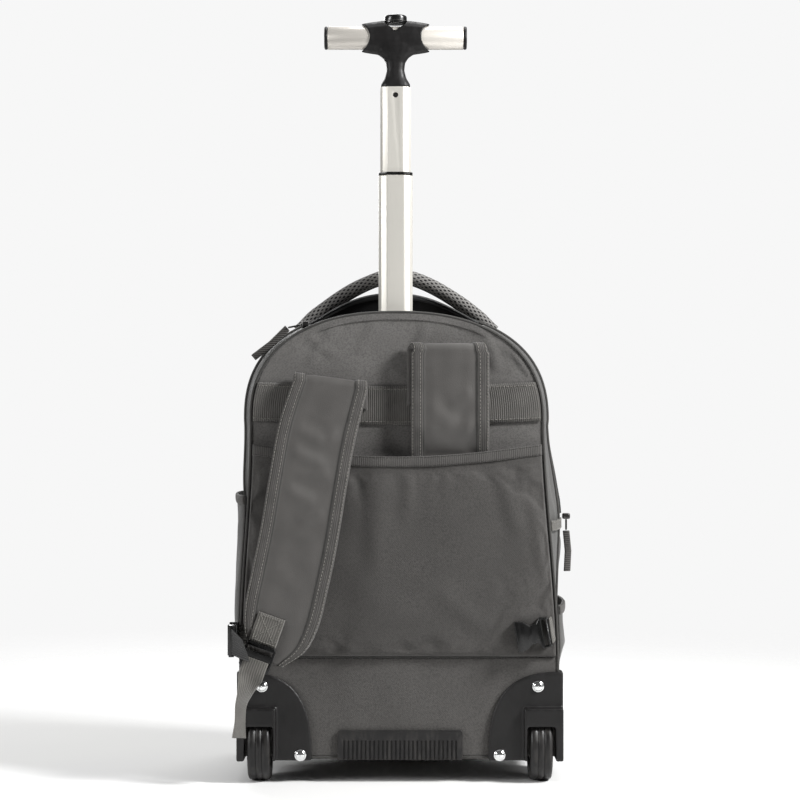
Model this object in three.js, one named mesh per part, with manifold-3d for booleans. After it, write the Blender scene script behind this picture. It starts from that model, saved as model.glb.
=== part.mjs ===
// Wheeled backpack with a single telescopic pole, seen and worn from its strap side.
// Millimetres, +Z up from the floor. X runs across the bag, and Y runs from the strap side into the bag.
import * as THREE from "three";
import { mergeVertices } from "three/addons/utils/BufferGeometryUtils.js";
import Module from "manifold-3d";

const wasm = await Module();
wasm.setup();

// Fabric body
const FLOOR_GAP = 26; // floor to the underside of the fabric base
const BACK_HEIGHT = 444; // underside to the top of the back panel
const ARCH_RISE = 107; // rise of the arched top above the shoulders
const ARCH_POWER = 2.35; // squareness of the arch
const SHOULDER_WIDTH = 290;
const BASE_WIDTH = 316;
const FLARE_SPAN = 0.72; // share of the side over which the shoulder width grows to the base width
const TOP_LEAN = 4; // how far the top leans to the left
const CORNER_RADIUS = 14;
const SEAM_RISE = 100; // underside to the seam between back panel and base panel
const CLOTH = 2; // wall of a fabric panel
const FIT = 0.3; // gap between pieces that touch
const TROLLEY_DEPTH = 42; // clear depth of the trolley compartment
const BASE_DEPTH = 196; // strap side to front face, at the base
const TOP_DEPTH = 138; // strap side to front face, at the top
const SIDE_BULGE = 12; // how far the sides swell beyond the seams
const TOP_SWELL = 0.4; // swell of the top as a share of that
const FRONT_CROWN = 11; // swell of the front face

// Strap side
const PANEL_THICK = 3;
const BAND_WIDTH = 39; // webbing band across the back panel
const BAND_TOP = 401; // height of its top edge at the seams
const BAND_SAG = 4;
const BAND_THICK = 1.3;
const POCKET_TOP = 338; // height of the strap pocket's mouth at the seams
const POCKET_SAG = 12;
const POCKET_ROOM = 9.5; // clear room behind the pocket cloth
const POCKET_CLOTH = 1.5;
const BINDING_WIDTH = 10;
const BINDING_THICK = 1.4;

// Trolley mouth and zips
const MOUTH_LEFT = 92; // open stretch of the trolley zip, left and right of the middle
const MOUTH_RIGHT = 86;
const LIP_WIDTH = 5;
const LIP_THICK = 1.6;
const LIP_MARGIN = 5; // from each end of the mouth to the lips
const REAR_LIP_PEAK = 16; // how far the rear lip is pulled up beside the pole
const ZIP_DEPTH = 76; // main zip, behind the strap side
const ZIP_WIDTH = 11;
const ZIP_THICK = 1.6;
const ZIP_SEAT = 1; // stand-off of the zip tape from the bag's side
const ZIP_COIL = 0.9; // how far the coil stands proud of its tape
const ZIP_END = 262; // height where the main zip ends on each side
const TAB_HEIGHT = 10.5;
const TAB_THICK = 1.8;

// Side pockets
const SIDE_POCKET_ROOM = 7;
const SIDE_POCKET_BACK = 8; // rear edge, behind the strap side
const SIDE_POCKET_LENGTH = 128;
const SIDE_POCKET_FOOT = 118;
const LEFT_POCKET_TOP = 287;
const RIGHT_POCKET_TOP = 177;
const SIDE_BINDING = 9;

// Grab handle
const HANDLE_SPAN = 187;
const HANDLE_TOP = 511.5; // height of its centreline in the middle
const HANDLE_RISE = 51;
const HANDLE_REACH = 1.1; // how far it runs on under the seams, as a share of half the span
const HANDLE_POWER = 1.6; // 2 is a plain parabola, less is more pointed
const HANDLE_STEPS = 20;
const HANDLE_SIDES = 10;
const HANDLE_RADIUS = 7.2;
const HANDLE_DEPTH = 56;

// Shoulder straps
const STRAP_WIDTH = 78;
const STRAP_THICK = 7;
const STRAP_BINDING = 11;
const LEFT_FOLD = 407; // height of the fold at the top of the strap's middle line
const RIGHT_FOLD = 441;
const RIGHT_STRAP_X = 50;
const STRAP_LENGTH = 283;
const STRAP_PLY = 5; // where the padding is pressed flat
const STRAP_STAND = 12; // how far the hanging strap stands out from its fold
const STRAP_STEPS = 14;
const FOLD_DEPTH = 17; // strap side of the bag to the front face of the folded strap
const FOLD_STEPS = 6;
const TUCK_RUN = 34; // stretch over which the right strap goes back into the pocket
const WEBBING = 25;
const WEBBING_THICK = 1.5;
const WEBBING_PLAY = 1; // extra width of a slot that webbing passes through

// Adjuster and buckles
const PATCH_INSET = 27; // middle of the patch to the side of the base
const PATCH_X = PATCH_INSET - BASE_WIDTH / 2;
const PATCH_Z = 156;
const PATCH_LENGTH = 30;
const PATCH_MARGIN = 3; // extra width over the webbing
const PATCH_THICK = 1.5;
const LOCK_WIDTH = 31;
const LOCK_HEIGHT = 27;
const LOCK_THICK = 3.6;
const LOCK_CORNER = 2.5;
const LOCK_SLOT = 0.17; // height of a slot in the ladder lock, as a share of the lock's height
const LOCK_SLOTS = [0.26, -0.14]; // places of the two slots, likewise
const LOOP_SEAT = 0.32; // where the webbing from the buckle meets the lock, likewise
const TAIL_LENGTH = 80;
const BUCKLE_LENGTH = 34;
const BUCKLE_WIDTH = 31;
const BUCKLE_WAIST = 18;
const BUCKLE_THICK = 9;
const BUCKLE_WALL = 1.6;
const BUCKLE_SLOT = 4; // length of the slot that the webbing passes through
const BUCKLE_BAR = 3; // bar beyond that slot
const BUCKLE_REACH = 16; // depth of the socket
const MALE_LENGTH = 12;
const BUCKLE_SEAT = 4;
const BUCKLE_LIFT = 8.5;
const BUCKLE_TILT = 0.17;
const TAB_LIFT = 3.4;
const LEFT_BUCKLE_OUTSET = 7; // beyond the side of the base
const LEFT_BUCKLE_X = BASE_WIDTH / 2 + LEFT_BUCKLE_OUTSET;
const LEFT_BUCKLE_Z = 147;
const RIGHT_BUCKLE_INSET = 9;
const RIGHT_BUCKLE_X = BASE_WIDTH / 2 - RIGHT_BUCKLE_INSET;
const RIGHT_BUCKLE_Z = 153;
// The tail's course below the ladder lock: drop as a share of its length, turn in degrees about the vertical
const TAIL_COURSE = [
  { drop: 0.32, x: -9, y: 1, turn: 38 },
  { drop: 0.45, x: -13, y: 3, turn: 56 },
  { drop: 0.6, x: -17, y: 5, turn: 66 },
  { drop: 0.8, x: -18, y: 6, turn: 68 },
  { drop: 1.0, x: -19, y: 7, turn: 60 },
];
// The webbing from buckle to ladder lock: share of the way, bulge to the rear, turn in degrees
const ADJUSTER_COURSE = [
  { share: 0.0, out: 0, turn: 0 },
  { share: 0.2, out: 2.4, turn: 12 },
  { share: 0.45, out: 3.6, turn: 32 },
  { share: 0.7, out: 3, turn: 52 },
  { share: 1.0, out: 0, turn: 69.5 },
];

// Zip pulls
const SLIDER = [8, 7, 6];
const SLIDER_SEAT = 1.2;
const SLIDER_LAP = 5; // how far the left slider reaches over the open mouth
const LINK_WIDTH = 6;
const LINK_THICK = 1.6;
const LINK_WIRE = 1.5;
const LINK_CORNER = 1.2;
const LEFT_LINK = 14; // length of each link
const RIGHT_LINK = 11;
const LEFT_PULL_REACH = 53; // slider to the tip of the left tag, across and down
const LEFT_PULL_DROP = 34;
const RIGHT_PULL_LENGTH = 56; // end of the main zip to the tip of the right tag
const TAG_WIDTH = 7;
const TAG_THICK = 2.4;
const TAG_BOW = 1.5;

// Wheels and housings
const WHEEL_RADIUS = 35;
const WHEEL_WIDTH = 23;
const WHEEL_INSET = 17; // middle of the tread to the side of the base
const WHEEL_X = BASE_WIDTH / 2 - WHEEL_INSET;
const AXLE_DEPTH = 22;
const AXLE_RADIUS = 3.6;
const AXLE_PLAY = 0.35;
const AXLE_SINK = 1; // how far its end lies in from the cheek's face
const HUB_RADIUS = 22;
const WHEEL_SIDES = 36;
const WHEEL_GAP = 2.6; // between the wheel and each cheek
const WELL_GAP = 3.5; // around the tread
const HOUSING_WIDTH = 75;
const HOUSING_HEIGHT = 89;
const HOUSING_DEPTH = 88;
const HOUSING_WALL = 3;
const HOUSING_POWER = 2.8;
const BEZEL_PROUD = 7; // raised step round the wheel arch
const CHEEK = 8;
const HOUSING_STEPS = 14;
const ARCH_OPENING = 57; // top of the wheel opening in the raised step
const BEZEL_DROP = 0.8;
const HUB_BOSS = 5;
const HUB_RIM = 3;
const HUB_WEB = 6;
const TREAD_SHOULDER = 4.2; // rounding of the tread's edges
const TREAD_DISH = 1.5; // how far each part lies in from the wheel's sides
const BOSS_DISH = 0.6;
const RIM_DISH = 2;
const RIVET_RADIUS = 5.6;
const RIVET_PROUD = 2.8;
const UPPER_RIVET_SHIFT = 3; // in from the middle of the tread
const UPPER_RIVET = [WHEEL_X - UPPER_RIVET_SHIFT, 97];
const LOWER_RIVET_SHIFT = 41.5;
const LOWER_RIVET_X = WHEEL_X - LOWER_RIVET_SHIFT;
const HANDS = [
  { side: "left", hand: -1 },
  { side: "right", hand: 1 },
];

// Bottom guard and front foot
const GUARD_WIDTH = 125;
const GUARD_RISE = 27;
const GUARD_REACH = 42;
const GUARD_THICK = 2.4;
const GUARD_CORNER = 3;
const GUARD_FRAME = 4;
const RIB_PITCH = 4.3;
const RIB_GROOVE = 1.6;
const RIB_DEEP = 1.1;
const RIB_SHARE = 0.72; // height of the ribs as a share of the guard's rise
const FOOT_CORNER = 5;
const FOOT_WIDTH = 150;
const FOOT_DEPTH = 20;
const FOOT_SETBACK = 14;

// Telescopic pole and grip
const POLE_X = -4.5;
const INNER_WIDTH = 30.8;
const TUBE_SLACK = 0.5; // running clearance between tubes
const TUBE_WALL = 1.3;
const TUBE_SLIMNESS = 0.74; // depth of a tube as a share of its width
const TUBE_FLAT = 0.5; // flat of a tube's face as a share of its width
const OUTER_TOP = 378;
const COLLAR_TOP = 612.5;
const COLLAR_HEIGHT = 2.8;
const TUBE_OVERLAP = 56; // length that stays inside the next tube when drawn out
const GRIP_BASE = 698.8;
const NECK_HEIGHT = 50; // grip base to the middle of the bar
const BAR_LENGTH = 137;
const BAR_RADIUS = 11.6;
const BAR_WALL = 1.4;
const CAP_LENGTH = 3.4;
const CAP_CHAMFER = 0.8;
const HUB_HALF = 35.3;
const HUB_SWELL = 18.4;
const HUB_BITE = 8.8; // depth of the hollow curve in each end of the grip hub
const BUTTON_RADIUS = 11.4;
const BUTTON_PROUD = 5;
const BUTTON_TRAVEL = 2.4;
const BUTTON_GAP = 0.4;
const BUTTON_CHAMFER = 0.8;
const BUTTON_CROWN = 2.2;
const HUB_DEEP = 13.6;
const GRIP_SIDES = 16;
const NECK_ROUNDNESS = 0.72; // 1 is an ellipse, less is squarer
const PLUG_LENGTH = 30;
const CAP_PLUG = 6;
const PIN_DROP = 8.8; // grip base to the locking pin's hole
const PIN_RADIUS = 2.7;

// Heights and depths that follow
const zBase = FLOOR_GAP;
const zTop = zBase + BACK_HEIGHT;
const zShoulder = zTop - ARCH_RISE;
const zSeam = zBase + SEAM_RISE;
const yGusset = PANEL_THICK + FIT;
const yDivider = yGusset + TROLLEY_DEPTH + FIT;
const yShell = yDivider + CLOTH + FIT;
const poleY = yGusset + TROLLEY_DEPTH / 2;

// How far the sides swell at each height, as shares of the back's height and of SIDE_BULGE
const SWELL_BY_HEIGHT = [
  { height: 0.0, left: 0.1, right: 0.1 },
  { height: 0.21, left: 0.2, right: 0.3 },
  { height: 0.31, left: 0.3, right: 0.3 },
  { height: 0.42, left: 0.35, right: 0.8 },
  { height: 0.54, left: 0.5, right: 1.4 },
  { height: 0.62, left: 0.85, right: 1.2 },
  { height: 0.72, left: 0.85, right: 0.74 },
  { height: 1.0, left: 0.85, right: 0.74 },
];
// How far the sides swell at each depth, as shares of the local depth and of the swell above
const SWELL_BY_DEPTH = [
  { depth: 0.0, swell: 0.0 },
  { depth: 0.1, swell: 0.45 },
  { depth: 0.25, swell: 0.75 },
  { depth: 0.45, swell: 1.0 },
  { depth: 0.75, swell: 0.9 },
  { depth: 0.92, swell: 0.35 },
  { depth: 1.0, swell: -0.9 },
];

const smooth = (t) => {
  const s = Math.min(1, Math.max(0, t));
  return s * s * (3 - 2 * s);
};
const lerp = (a, b, t) => a + (b - a) * t;

// Reads a column of a table at a place between its rows.
function readTable(rows, key, column, at) {
  const last = rows.length - 1;
  if (at <= rows[0][key]) return rows[0][column];
  for (let i = 1; i <= last; i++)
    if (at <= rows[i][key]) {
      const share = (at - rows[i - 1][key]) / (rows[i][key] - rows[i - 1][key]);
      return lerp(rows[i - 1][column], rows[i][column], share);
    }
  return rows[last][column];
}

// A geometry without its normals and texture places, so that shared corners can be merged.
function bareGeometry(geometry) {
  geometry.deleteAttribute("normal");
  geometry.deleteAttribute("uv");
  return geometry;
}

// A solid for cutting and joining, from a closed geometry.
function toSolid(geometry) {
  const merged = mergeVertices(bareGeometry(geometry.clone()), 1e-4);
  return new wasm.Manifold(
    new wasm.Mesh({
      numProp: 3,
      vertProperties: merged.attributes.position.array,
      triVerts: new Uint32Array(merged.index.array),
    }),
  );
}

// A geometry from a solid.
function toGeometry(solid) {
  const mesh = solid.getMesh();
  const positions = new Float32Array(mesh.numVert * 3);
  for (let i = 0; i < mesh.numVert; i++)
    positions.set(
      mesh.vertProperties.subarray(i * mesh.numProp, i * mesh.numProp + 3),
      i * 3,
    );
  const geometry = new THREE.BufferGeometry();
  geometry.setAttribute("position", new THREE.BufferAttribute(positions, 3));
  geometry.setIndex(new THREE.BufferAttribute(mesh.triVerts, 1));
  return geometry;
}

// Triangles across a ring of points, wound in the ring's own order.
function capTriangles(ring) {
  const normal = new THREE.Vector3();
  ring.forEach((p, i) => {
    const q = ring[(i + 1) % ring.length];
    normal.x += (p.y - q.y) * (p.z + q.z);
    normal.y += (p.z - q.z) * (p.x + q.x);
    normal.z += (p.x - q.x) * (p.y + q.y);
  });
  normal.normalize();
  const across = new THREE.Vector3(1, 0, 0);
  if (Math.abs(normal.x) > 0.8) across.set(0, 1, 0);
  across.cross(normal).normalize();
  const up = normal.clone().cross(across);
  const flat = ring.map((p) => new THREE.Vector2(p.dot(across), p.dot(up)));
  return THREE.ShapeUtils.triangulateShape(flat, []).map(([a, b, c]) => {
    const turn = (flat[b].x - flat[a].x) * (flat[c].y - flat[a].y) -
      (flat[b].y - flat[a].y) * (flat[c].x - flat[a].x);
    return turn >= 0 ? [a, b, c] : [a, c, b];
  });
}

// A closed surface through rings of equally many points. A looped loft joins its last ring to its first.
function loft(rings, looped = false) {
  const count = rings[0].length;
  const positions = rings.flat().flatMap((p) => [p.x, p.y, p.z]);
  const faces = [];
  const spans = looped ? rings.length : rings.length - 1;
  for (let r = 0; r < spans; r++)
    for (let i = 0; i < count; i++) {
      const a = r * count + i;
      const b = r * count + ((i + 1) % count);
      const c = ((r + 1) % rings.length) * count + ((i + 1) % count);
      const d = ((r + 1) % rings.length) * count + i;
      faces.push([a, b, c], [a, c, d]);
    }
  if (!looped) {
    const end = (rings.length - 1) * count;
    capTriangles(rings[0]).forEach(([a, b, c]) => faces.push([a, c, b]));
    capTriangles(rings[rings.length - 1]).forEach(([a, b, c]) =>
      faces.push([end + a, end + b, end + c]),
    );
  }
  const at = (i) => new THREE.Vector3().fromArray(positions, i * 3);
  const volume = faces.reduce(
    (sum, [a, b, c]) => sum + at(a).dot(at(b).cross(at(c))),
    0,
  );
  const facing = volume < 0 ? faces.map(([a, b, c]) => [a, c, b]) : faces;
  const geometry = new THREE.BufferGeometry();
  geometry.setAttribute("position", new THREE.Float32BufferAttribute(positions, 3));
  geometry.setIndex(facing.flat());
  return geometry;
}

// A sheet between two surfaces, each a function of two shares from 0 to 1.
function sheet(front, back, across, along) {
  const rings = [];
  for (let j = 0; j <= along; j++) {
    const ring = [];
    for (let i = 0; i <= across; i++) ring.push(front(i / across, j / along));
    for (let i = across; i >= 0; i--) ring.push(back(i / across, j / along));
    rings.push(ring);
  }
  return loft(rings);
}

// A box between two corners.
function boxBetween(low, high) {
  const size = high.map((v, i) => v - low[i]);
  const middle = high.map((v, i) => (v + low[i]) / 2);
  return new THREE.BoxGeometry(...size).translate(...middle);
}

// Half the bag's width at a height, swollen by grow.
function halfWidth(z, grow = 0) {
  if (z >= zShoulder) {
    const share = Math.min(1, (z - zShoulder) / (ARCH_RISE + grow));
    const arch = Math.pow(1 - Math.pow(share, ARCH_POWER), 1 / ARCH_POWER);
    return (SHOULDER_WIDTH / 2 + grow) * arch;
  }
  const down = (zShoulder - z) / (zShoulder - zBase);
  const flare = ((BASE_WIDTH - SHOULDER_WIDTH) / 2) * smooth(down / FLARE_SPAN);
  return SHOULDER_WIDTH / 2 + flare + grow;
}

const centreX = (z) => (-TOP_LEAN * (z - zBase)) / BACK_HEIGHT;
const depthAt = (z) => lerp(BASE_DEPTH, TOP_DEPTH, smooth((z - zBase) / BACK_HEIGHT));

// How far the side on one hand, -1 left or 1 right, stands out from the seam at a depth and height.
function swell(y, z, hand) {
  const height = (z - zBase) / BACK_HEIGHT;
  const byHeight = readTable(SWELL_BY_HEIGHT, "height", hand < 0 ? "left" : "right", height);
  return SIDE_BULGE * byHeight * swellAt(y, z);
}

// The bag's side surface at a depth and height.
const sideX = (y, z, hand) => centreX(z) + hand * halfWidth(z, swell(y, z, hand));

const ARCH_STEPS = 16;
const SIDE_STEPS = 6;
const CORNER_STEPS = 2;
const swellAt = (y, z) => readTable(SWELL_BY_DEPTH, "depth", "swell", y / depthAt(z));

// A point of the arch at a depth and at an angle from the right side over the top, pulled in by inset
function archPoint(yAt, turn, inset = 0) {
  const cos = Math.cos(turn);
  const sin = Math.sin(turn);
  const hand = cos < 0 ? "left" : "right";
  const atSide = readTable(SWELL_BY_HEIGHT, "height", hand, 1);
  const share = lerp(atSide, TOP_SWELL, smooth(sin * sin));
  const grow = SIDE_BULGE * share * swellAt(yAt(zTop), zTop) - inset;
  const x = (SHOULDER_WIDTH / 2 + grow) * Math.sign(cos) * Math.pow(Math.abs(cos), 2 / ARCH_POWER);
  const z = zShoulder + (ARCH_RISE + grow) * Math.pow(sin, 2 / ARCH_POWER);
  return new THREE.Vector3(centreX(z) + x, yAt(z), z);
}

// The bag's outline at a depth given as a share of the local depth from a start, pulled in by inset.
function outlineRing(startY, share, inset = 0, base = zBase) {
  const yAt = (z) => startY + share * (depthAt(z) - inset - startY);
  const ring = [];
  const put = (x, z) => ring.push(new THREE.Vector3(x, yAt(z), z));
  const side = (z, hand) => put(sideX(yAt(z), z, hand) - hand * inset, z);
  const corner = (hand) => {
    const z = base + inset + CORNER_RADIUS;
    const x = sideX(yAt(z), z, hand) - hand * (inset + CORNER_RADIUS);
    for (let i = 0; i < CORNER_STEPS; i++) {
      const turn = (Math.PI / 2) * (hand > 0 ? i / CORNER_STEPS : 1 - (i + 1) / CORNER_STEPS);
      put(x + hand * CORNER_RADIUS * Math.sin(turn), z - CORNER_RADIUS * Math.cos(turn));
    }
  };
  const foot = base + inset + CORNER_RADIUS;
  corner(1);
  for (let i = 0; i < SIDE_STEPS; i++) side(lerp(foot, zShoulder, i / SIDE_STEPS), 1);
  for (let i = 0; i <= ARCH_STEPS; i++) ring.push(archPoint(yAt, (Math.PI * i) / ARCH_STEPS, inset));
  for (let i = SIDE_STEPS - 1; i >= 0; i--) side(lerp(foot, zShoulder, i / SIDE_STEPS), -1);
  corner(-1);
  return ring;
}

// The same outline laid in one plane of constant depth.
function flatRing(y, inset = 0) {
  return outlineRing(y, 0, inset);
}

// A ring drawn in towards the bag's middle, and moved along Y by an amount that may follow the height.
function drawnIn(ring, share, lift) {
  const middleZ = (zBase + zTop) / 2;
  return ring.map((p) => {
    const z = lerp(middleZ, p.z, share);
    const x = lerp(centreX(z), p.x, share);
    return new THREE.Vector3(x, lift(x, z, p), z);
  });
}

// Room for the wheel well at both rear corners.
const wellInner = WHEEL_X - WHEEL_WIDTH / 2 - WHEEL_GAP - HOUSING_WALL;
const wellTop = 2 * WHEEL_RADIUS + WELL_GAP + HOUSING_WALL;
const wellFront = AXLE_DEPTH + WHEEL_RADIUS + WELL_GAP + HOUSING_WALL;
function wellCutters() {
  const far = BASE_WIDTH;
  const cut = (hand) =>
    toSolid(
      boxBetween(
        [Math.min(hand * (wellInner - FIT), hand * far), -far, -FLOOR_GAP],
        [Math.max(hand * (wellInner - FIT), hand * far), wellFront + FIT, wellTop + FIT],
      ),
    );
  return cut(-1).add(cut(1));
}
const notched = (geometry) => toGeometry(toSolid(geometry).subtract(wellCutters()));

const parts = new THREE.Group();
const cloth = (color, roughness = 0.85) =>
  new THREE.MeshStandardMaterial({ color, roughness, metalness: 0 });
const hard = (color, roughness, metalness = 0) =>
  new THREE.MeshStandardMaterial({ color, roughness, metalness });
const finishes = {
  nylon: cloth(0x5b5957),
  coated: cloth(0x55544f, 0.6),
  webbing: cloth(0x5a5854, 0.8),
  mesh: cloth(0x403f3e, 0.9),
  tape: cloth(0x1c1c1d, 0.7),
  plastic: hard(0x2b2b2b, 0.55),
  gloss: hard(0x151515, 0.3),
  rubber: hard(0x3a3839, 0.7),
  satin: hard(0xd8d6d0, 0.35, 0.9),
  chrome: hard(0xd0d2d4, 0.15, 1),
  zinc: hard(0x6f6f70, 0.35, 0.9),
};

function addPiece(name, geometry, finish) {
  const mesh = new THREE.Mesh(geometry, finishes[finish]);
  mesh.name = name;
  parts.add(mesh);
  return mesh;
}

// Flat panels of the strap side and the wall behind the trolley compartment
function plate(y, thick, low, high) {
  const rings = [flatRing(y), flatRing(y + thick)];
  const whole = toSolid(loft(rings));
  const slice = toSolid(boxBetween([-BASE_WIDTH, y - thick, low], [BASE_WIDTH, y + 2 * thick, high]));
  return whole.intersect(slice);
}

function buildPanels() {
  const back = plate(0, PANEL_THICK, zSeam + FIT / 2, zTop + 1);
  addPiece("back_panel", toGeometry(back), "nylon");
  const base = plate(0, PANEL_THICK, zBase - 1, zSeam - FIT / 2).subtract(wellCutters());
  addPiece("base_back_panel", toGeometry(base), "nylon");
  const divider = toSolid(loft([outlineRing(yDivider, 0), outlineRing(yDivider + CLOTH, 0)]));
  addPiece("divider_panel", toGeometry(divider.subtract(wellCutters())), "nylon");
}

// Band round the trolley compartment, open at the top where its zip is undone
function buildTrolleyGusset() {
  const ends = [yGusset, yGusset + TROLLEY_DEPTH];
  const middle = (ends[0] + ends[1]) / 2;
  const rings = [
    flatRing(ends[0]),
    flatRing(middle),
    flatRing(ends[1]),
    flatRing(ends[1], CLOTH),
    flatRing(middle, CLOTH),
    flatRing(ends[0], CLOTH),
  ];
  const band = toSolid(loft(rings, true));
  const topX = centreX(zTop);
  const mouth = toSolid(
    boxBetween([topX - MOUTH_LEFT, -1, zShoulder], [topX + MOUTH_RIGHT, yDivider, zTop + BACK_HEIGHT]),
  );
  const pieces = band.subtract(mouth).subtract(wellCutters()).decompose();
  const middleX = (piece) => {
    const { min, max } = piece.boundingBox();
    return (min[0] + max[0]) / 2;
  };
  pieces.sort((one, other) => middleX(one) - middleX(other));
  ["left", "floor", "right"].forEach((side, i) =>
    addPiece("trolley_gusset_" + side, toGeometry(pieces[i]), "nylon"),
  );
}

// Main compartment: a tub with its open side against the divider
const FRONT_RINGS = [
  { share: 0.93, lift: 0.55 },
  { share: 0.6, lift: 0.9 },
  { share: 0.2, lift: 1.0 },
];
function shellSkin(inset) {
  const shares = [0, 0.2, 0.42, 0.72, 0.9, 1];
  const rings = shares.map((share) => outlineRing(yShell, share, inset));
  const rim = rings[rings.length - 1];
  for (const { share, lift } of FRONT_RINGS)
    rings.push(drawnIn(rim, share, (x, z) => depthAt(z) - inset + FRONT_CROWN * lift));
  return rings;
}
function buildShell() {
  const outside = shellSkin(0);
  const inside = shellSkin(CLOTH);
  addPiece("main_shell", notched(loft([...inside.reverse(), ...outside])), "nylon");
}

// The bag's outer form from a depth on, for cutting pieces back to its surface
function bodyForm(grow, start = yGusset) {
  const depths = [start, yGusset, yGusset + TROLLEY_DEPTH / 2, yGusset + TROLLEY_DEPTH];
  const near = depths.filter((y, i) => i === 0 || y > start).map((y) => flatRing(y, -grow));
  return toSolid(loft([...near, ...shellSkin(-grow)]));
}

// Webbing band, strap pocket and its binding on the back panel
const backSpan = (u, z, margin) => {
  const half = halfWidth(z) - margin;
  return centreX(z) + lerp(-half, half, u);
};
const sagged = (edge, sag, u) => edge - sag * Math.sin(Math.PI * u);
function buildBand() {
  const surface = (y) => (u, v) => {
    const z = sagged(BAND_TOP - BAND_WIDTH * v, BAND_SAG, u);
    return new THREE.Vector3(backSpan(u, z, 1), y, z);
  };
  addPiece("webbing_band", sheet(surface(-FIT - BAND_THICK), surface(-FIT), 10, 1), "webbing");
}

// Room behind the pocket cloth at a place across and up the pocket
const pocketRoom = (u, v) =>
  FIT + POCKET_ROOM * Math.pow(Math.sin(Math.PI * u), 0.3) * Math.pow(Math.sin((Math.PI / 2) * v), 0.3);
const pocketZ = (u, v) => lerp(zSeam + FIT, sagged(POCKET_TOP, POCKET_SAG, u), v);
const pocketPoint = (u, v, extra) => {
  const z = pocketZ(u, v);
  return new THREE.Vector3(backSpan(u, z, 1), -pocketRoom(u, v) - extra, z);
};
function buildPocket() {
  addPiece(
    "strap_pocket",
    sheet((u, v) => pocketPoint(u, v, POCKET_CLOTH), (u, v) => pocketPoint(u, v, 0), 14, 6),
    "nylon",
  );
  const foot = (u) => 1 - BINDING_WIDTH / (pocketZ(u, 1) - pocketZ(u, 0));
  const edge = (extra) => (u, v) => pocketPoint(u, lerp(foot(u), 1, v), POCKET_CLOTH + FIT + extra);
  addPiece("pocket_binding", sheet(edge(BINDING_THICK), edge(0), 14, 1), "webbing");
}

// Lips of the undone trolley zip. The rear one is pulled up where the pole passes.
function archTurn(x) {
  const share = Math.min(1, Math.abs(x) / (SHOULDER_WIDTH / 2));
  return Math.acos(Math.sign(x) * Math.pow(share, ARCH_POWER / 2));
}
function lip(yNear, yFar, peak) {
  const turns = [archTurn(-MOUTH_LEFT + LIP_MARGIN), archTurn(MOUTH_RIGHT - LIP_MARGIN)];
  const at = (drop) => (u, v) => {
    const point = archPoint(() => lerp(yNear, yFar, v), lerp(...turns, u));
    point.z += peak * Math.pow(Math.sin(Math.PI * u), 1.5) - drop;
    return point;
  };
  return sheet(at(0), at(LIP_THICK), 16, 1);
}
function buildLips() {
  addPiece("zip_lip_back", lip(yGusset, yGusset + LIP_WIDTH, 0), "nylon");
  addPiece(
    "zip_lip_rear",
    lip(yDivider - FIT - LIP_WIDTH, yDivider - FIT, REAR_LIP_PEAK),
    "tape",
  );
}

// Main zip over the sides and arch, and the tab that finishes its right end
function surfacePoint(y, path, out) {
  const { x, z, nx, nz } = path;
  return new THREE.Vector3(x + nx * out, y, z + nz * out);
}
function zipPath(y) {
  const steps = 34;
  const whole = outlineRing(y, 0).filter((p) => p.z >= ZIP_END);
  const right = new THREE.Vector3(sideX(y, ZIP_END, 1), y, ZIP_END);
  const left = new THREE.Vector3(sideX(y, ZIP_END, -1), y, ZIP_END);
  const curve = new THREE.CatmullRomCurve3([right, ...whole, left], false, "centripetal");
  return curve.getSpacedPoints(steps).map((p, i) => {
    const tangent = curve.getTangentAt(i / steps);
    return { x: p.x, z: p.z, nx: tangent.z, nz: -tangent.x };
  });
}
function buildMainZip() {
  const near = zipPath(ZIP_DEPTH - ZIP_WIDTH / 2);
  const far = zipPath(ZIP_DEPTH + ZIP_WIDTH / 2);
  const rings = near.map((p, i) => [
    surfacePoint(ZIP_DEPTH - ZIP_WIDTH / 2, p, ZIP_SEAT),
    surfacePoint(ZIP_DEPTH + ZIP_WIDTH / 2, far[i], ZIP_SEAT),
    surfacePoint(ZIP_DEPTH + ZIP_WIDTH / 2, far[i], ZIP_SEAT + ZIP_THICK),
    surfacePoint(ZIP_DEPTH, far[i], ZIP_SEAT + ZIP_THICK + ZIP_COIL),
    surfacePoint(ZIP_DEPTH - ZIP_WIDTH / 2, p, ZIP_SEAT + ZIP_THICK),
  ]);
  const zip = toSolid(loft(rings)).subtract(bodyForm(FIT));
  addPiece("main_zip", toGeometry(zip), "tape");
  const tabRear = yGusset + 1;
  const tabFront = ZIP_DEPTH - ZIP_WIDTH / 2 - FIT;
  const tab = (out) => (u, v) => {
    const y = lerp(tabRear, tabFront, u);
    const z = lerp(ZIP_END - TAB_HEIGHT, ZIP_END, v);
    return new THREE.Vector3(sideX(y, z, 1) + out, y, z);
  };
  const flat = toSolid(sheet(tab(FIT + TAB_THICK), tab(0), 8, 1)).subtract(bodyForm(FIT));
  addPiece("zip_end_tab", toGeometry(flat), "nylon");
}

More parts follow.
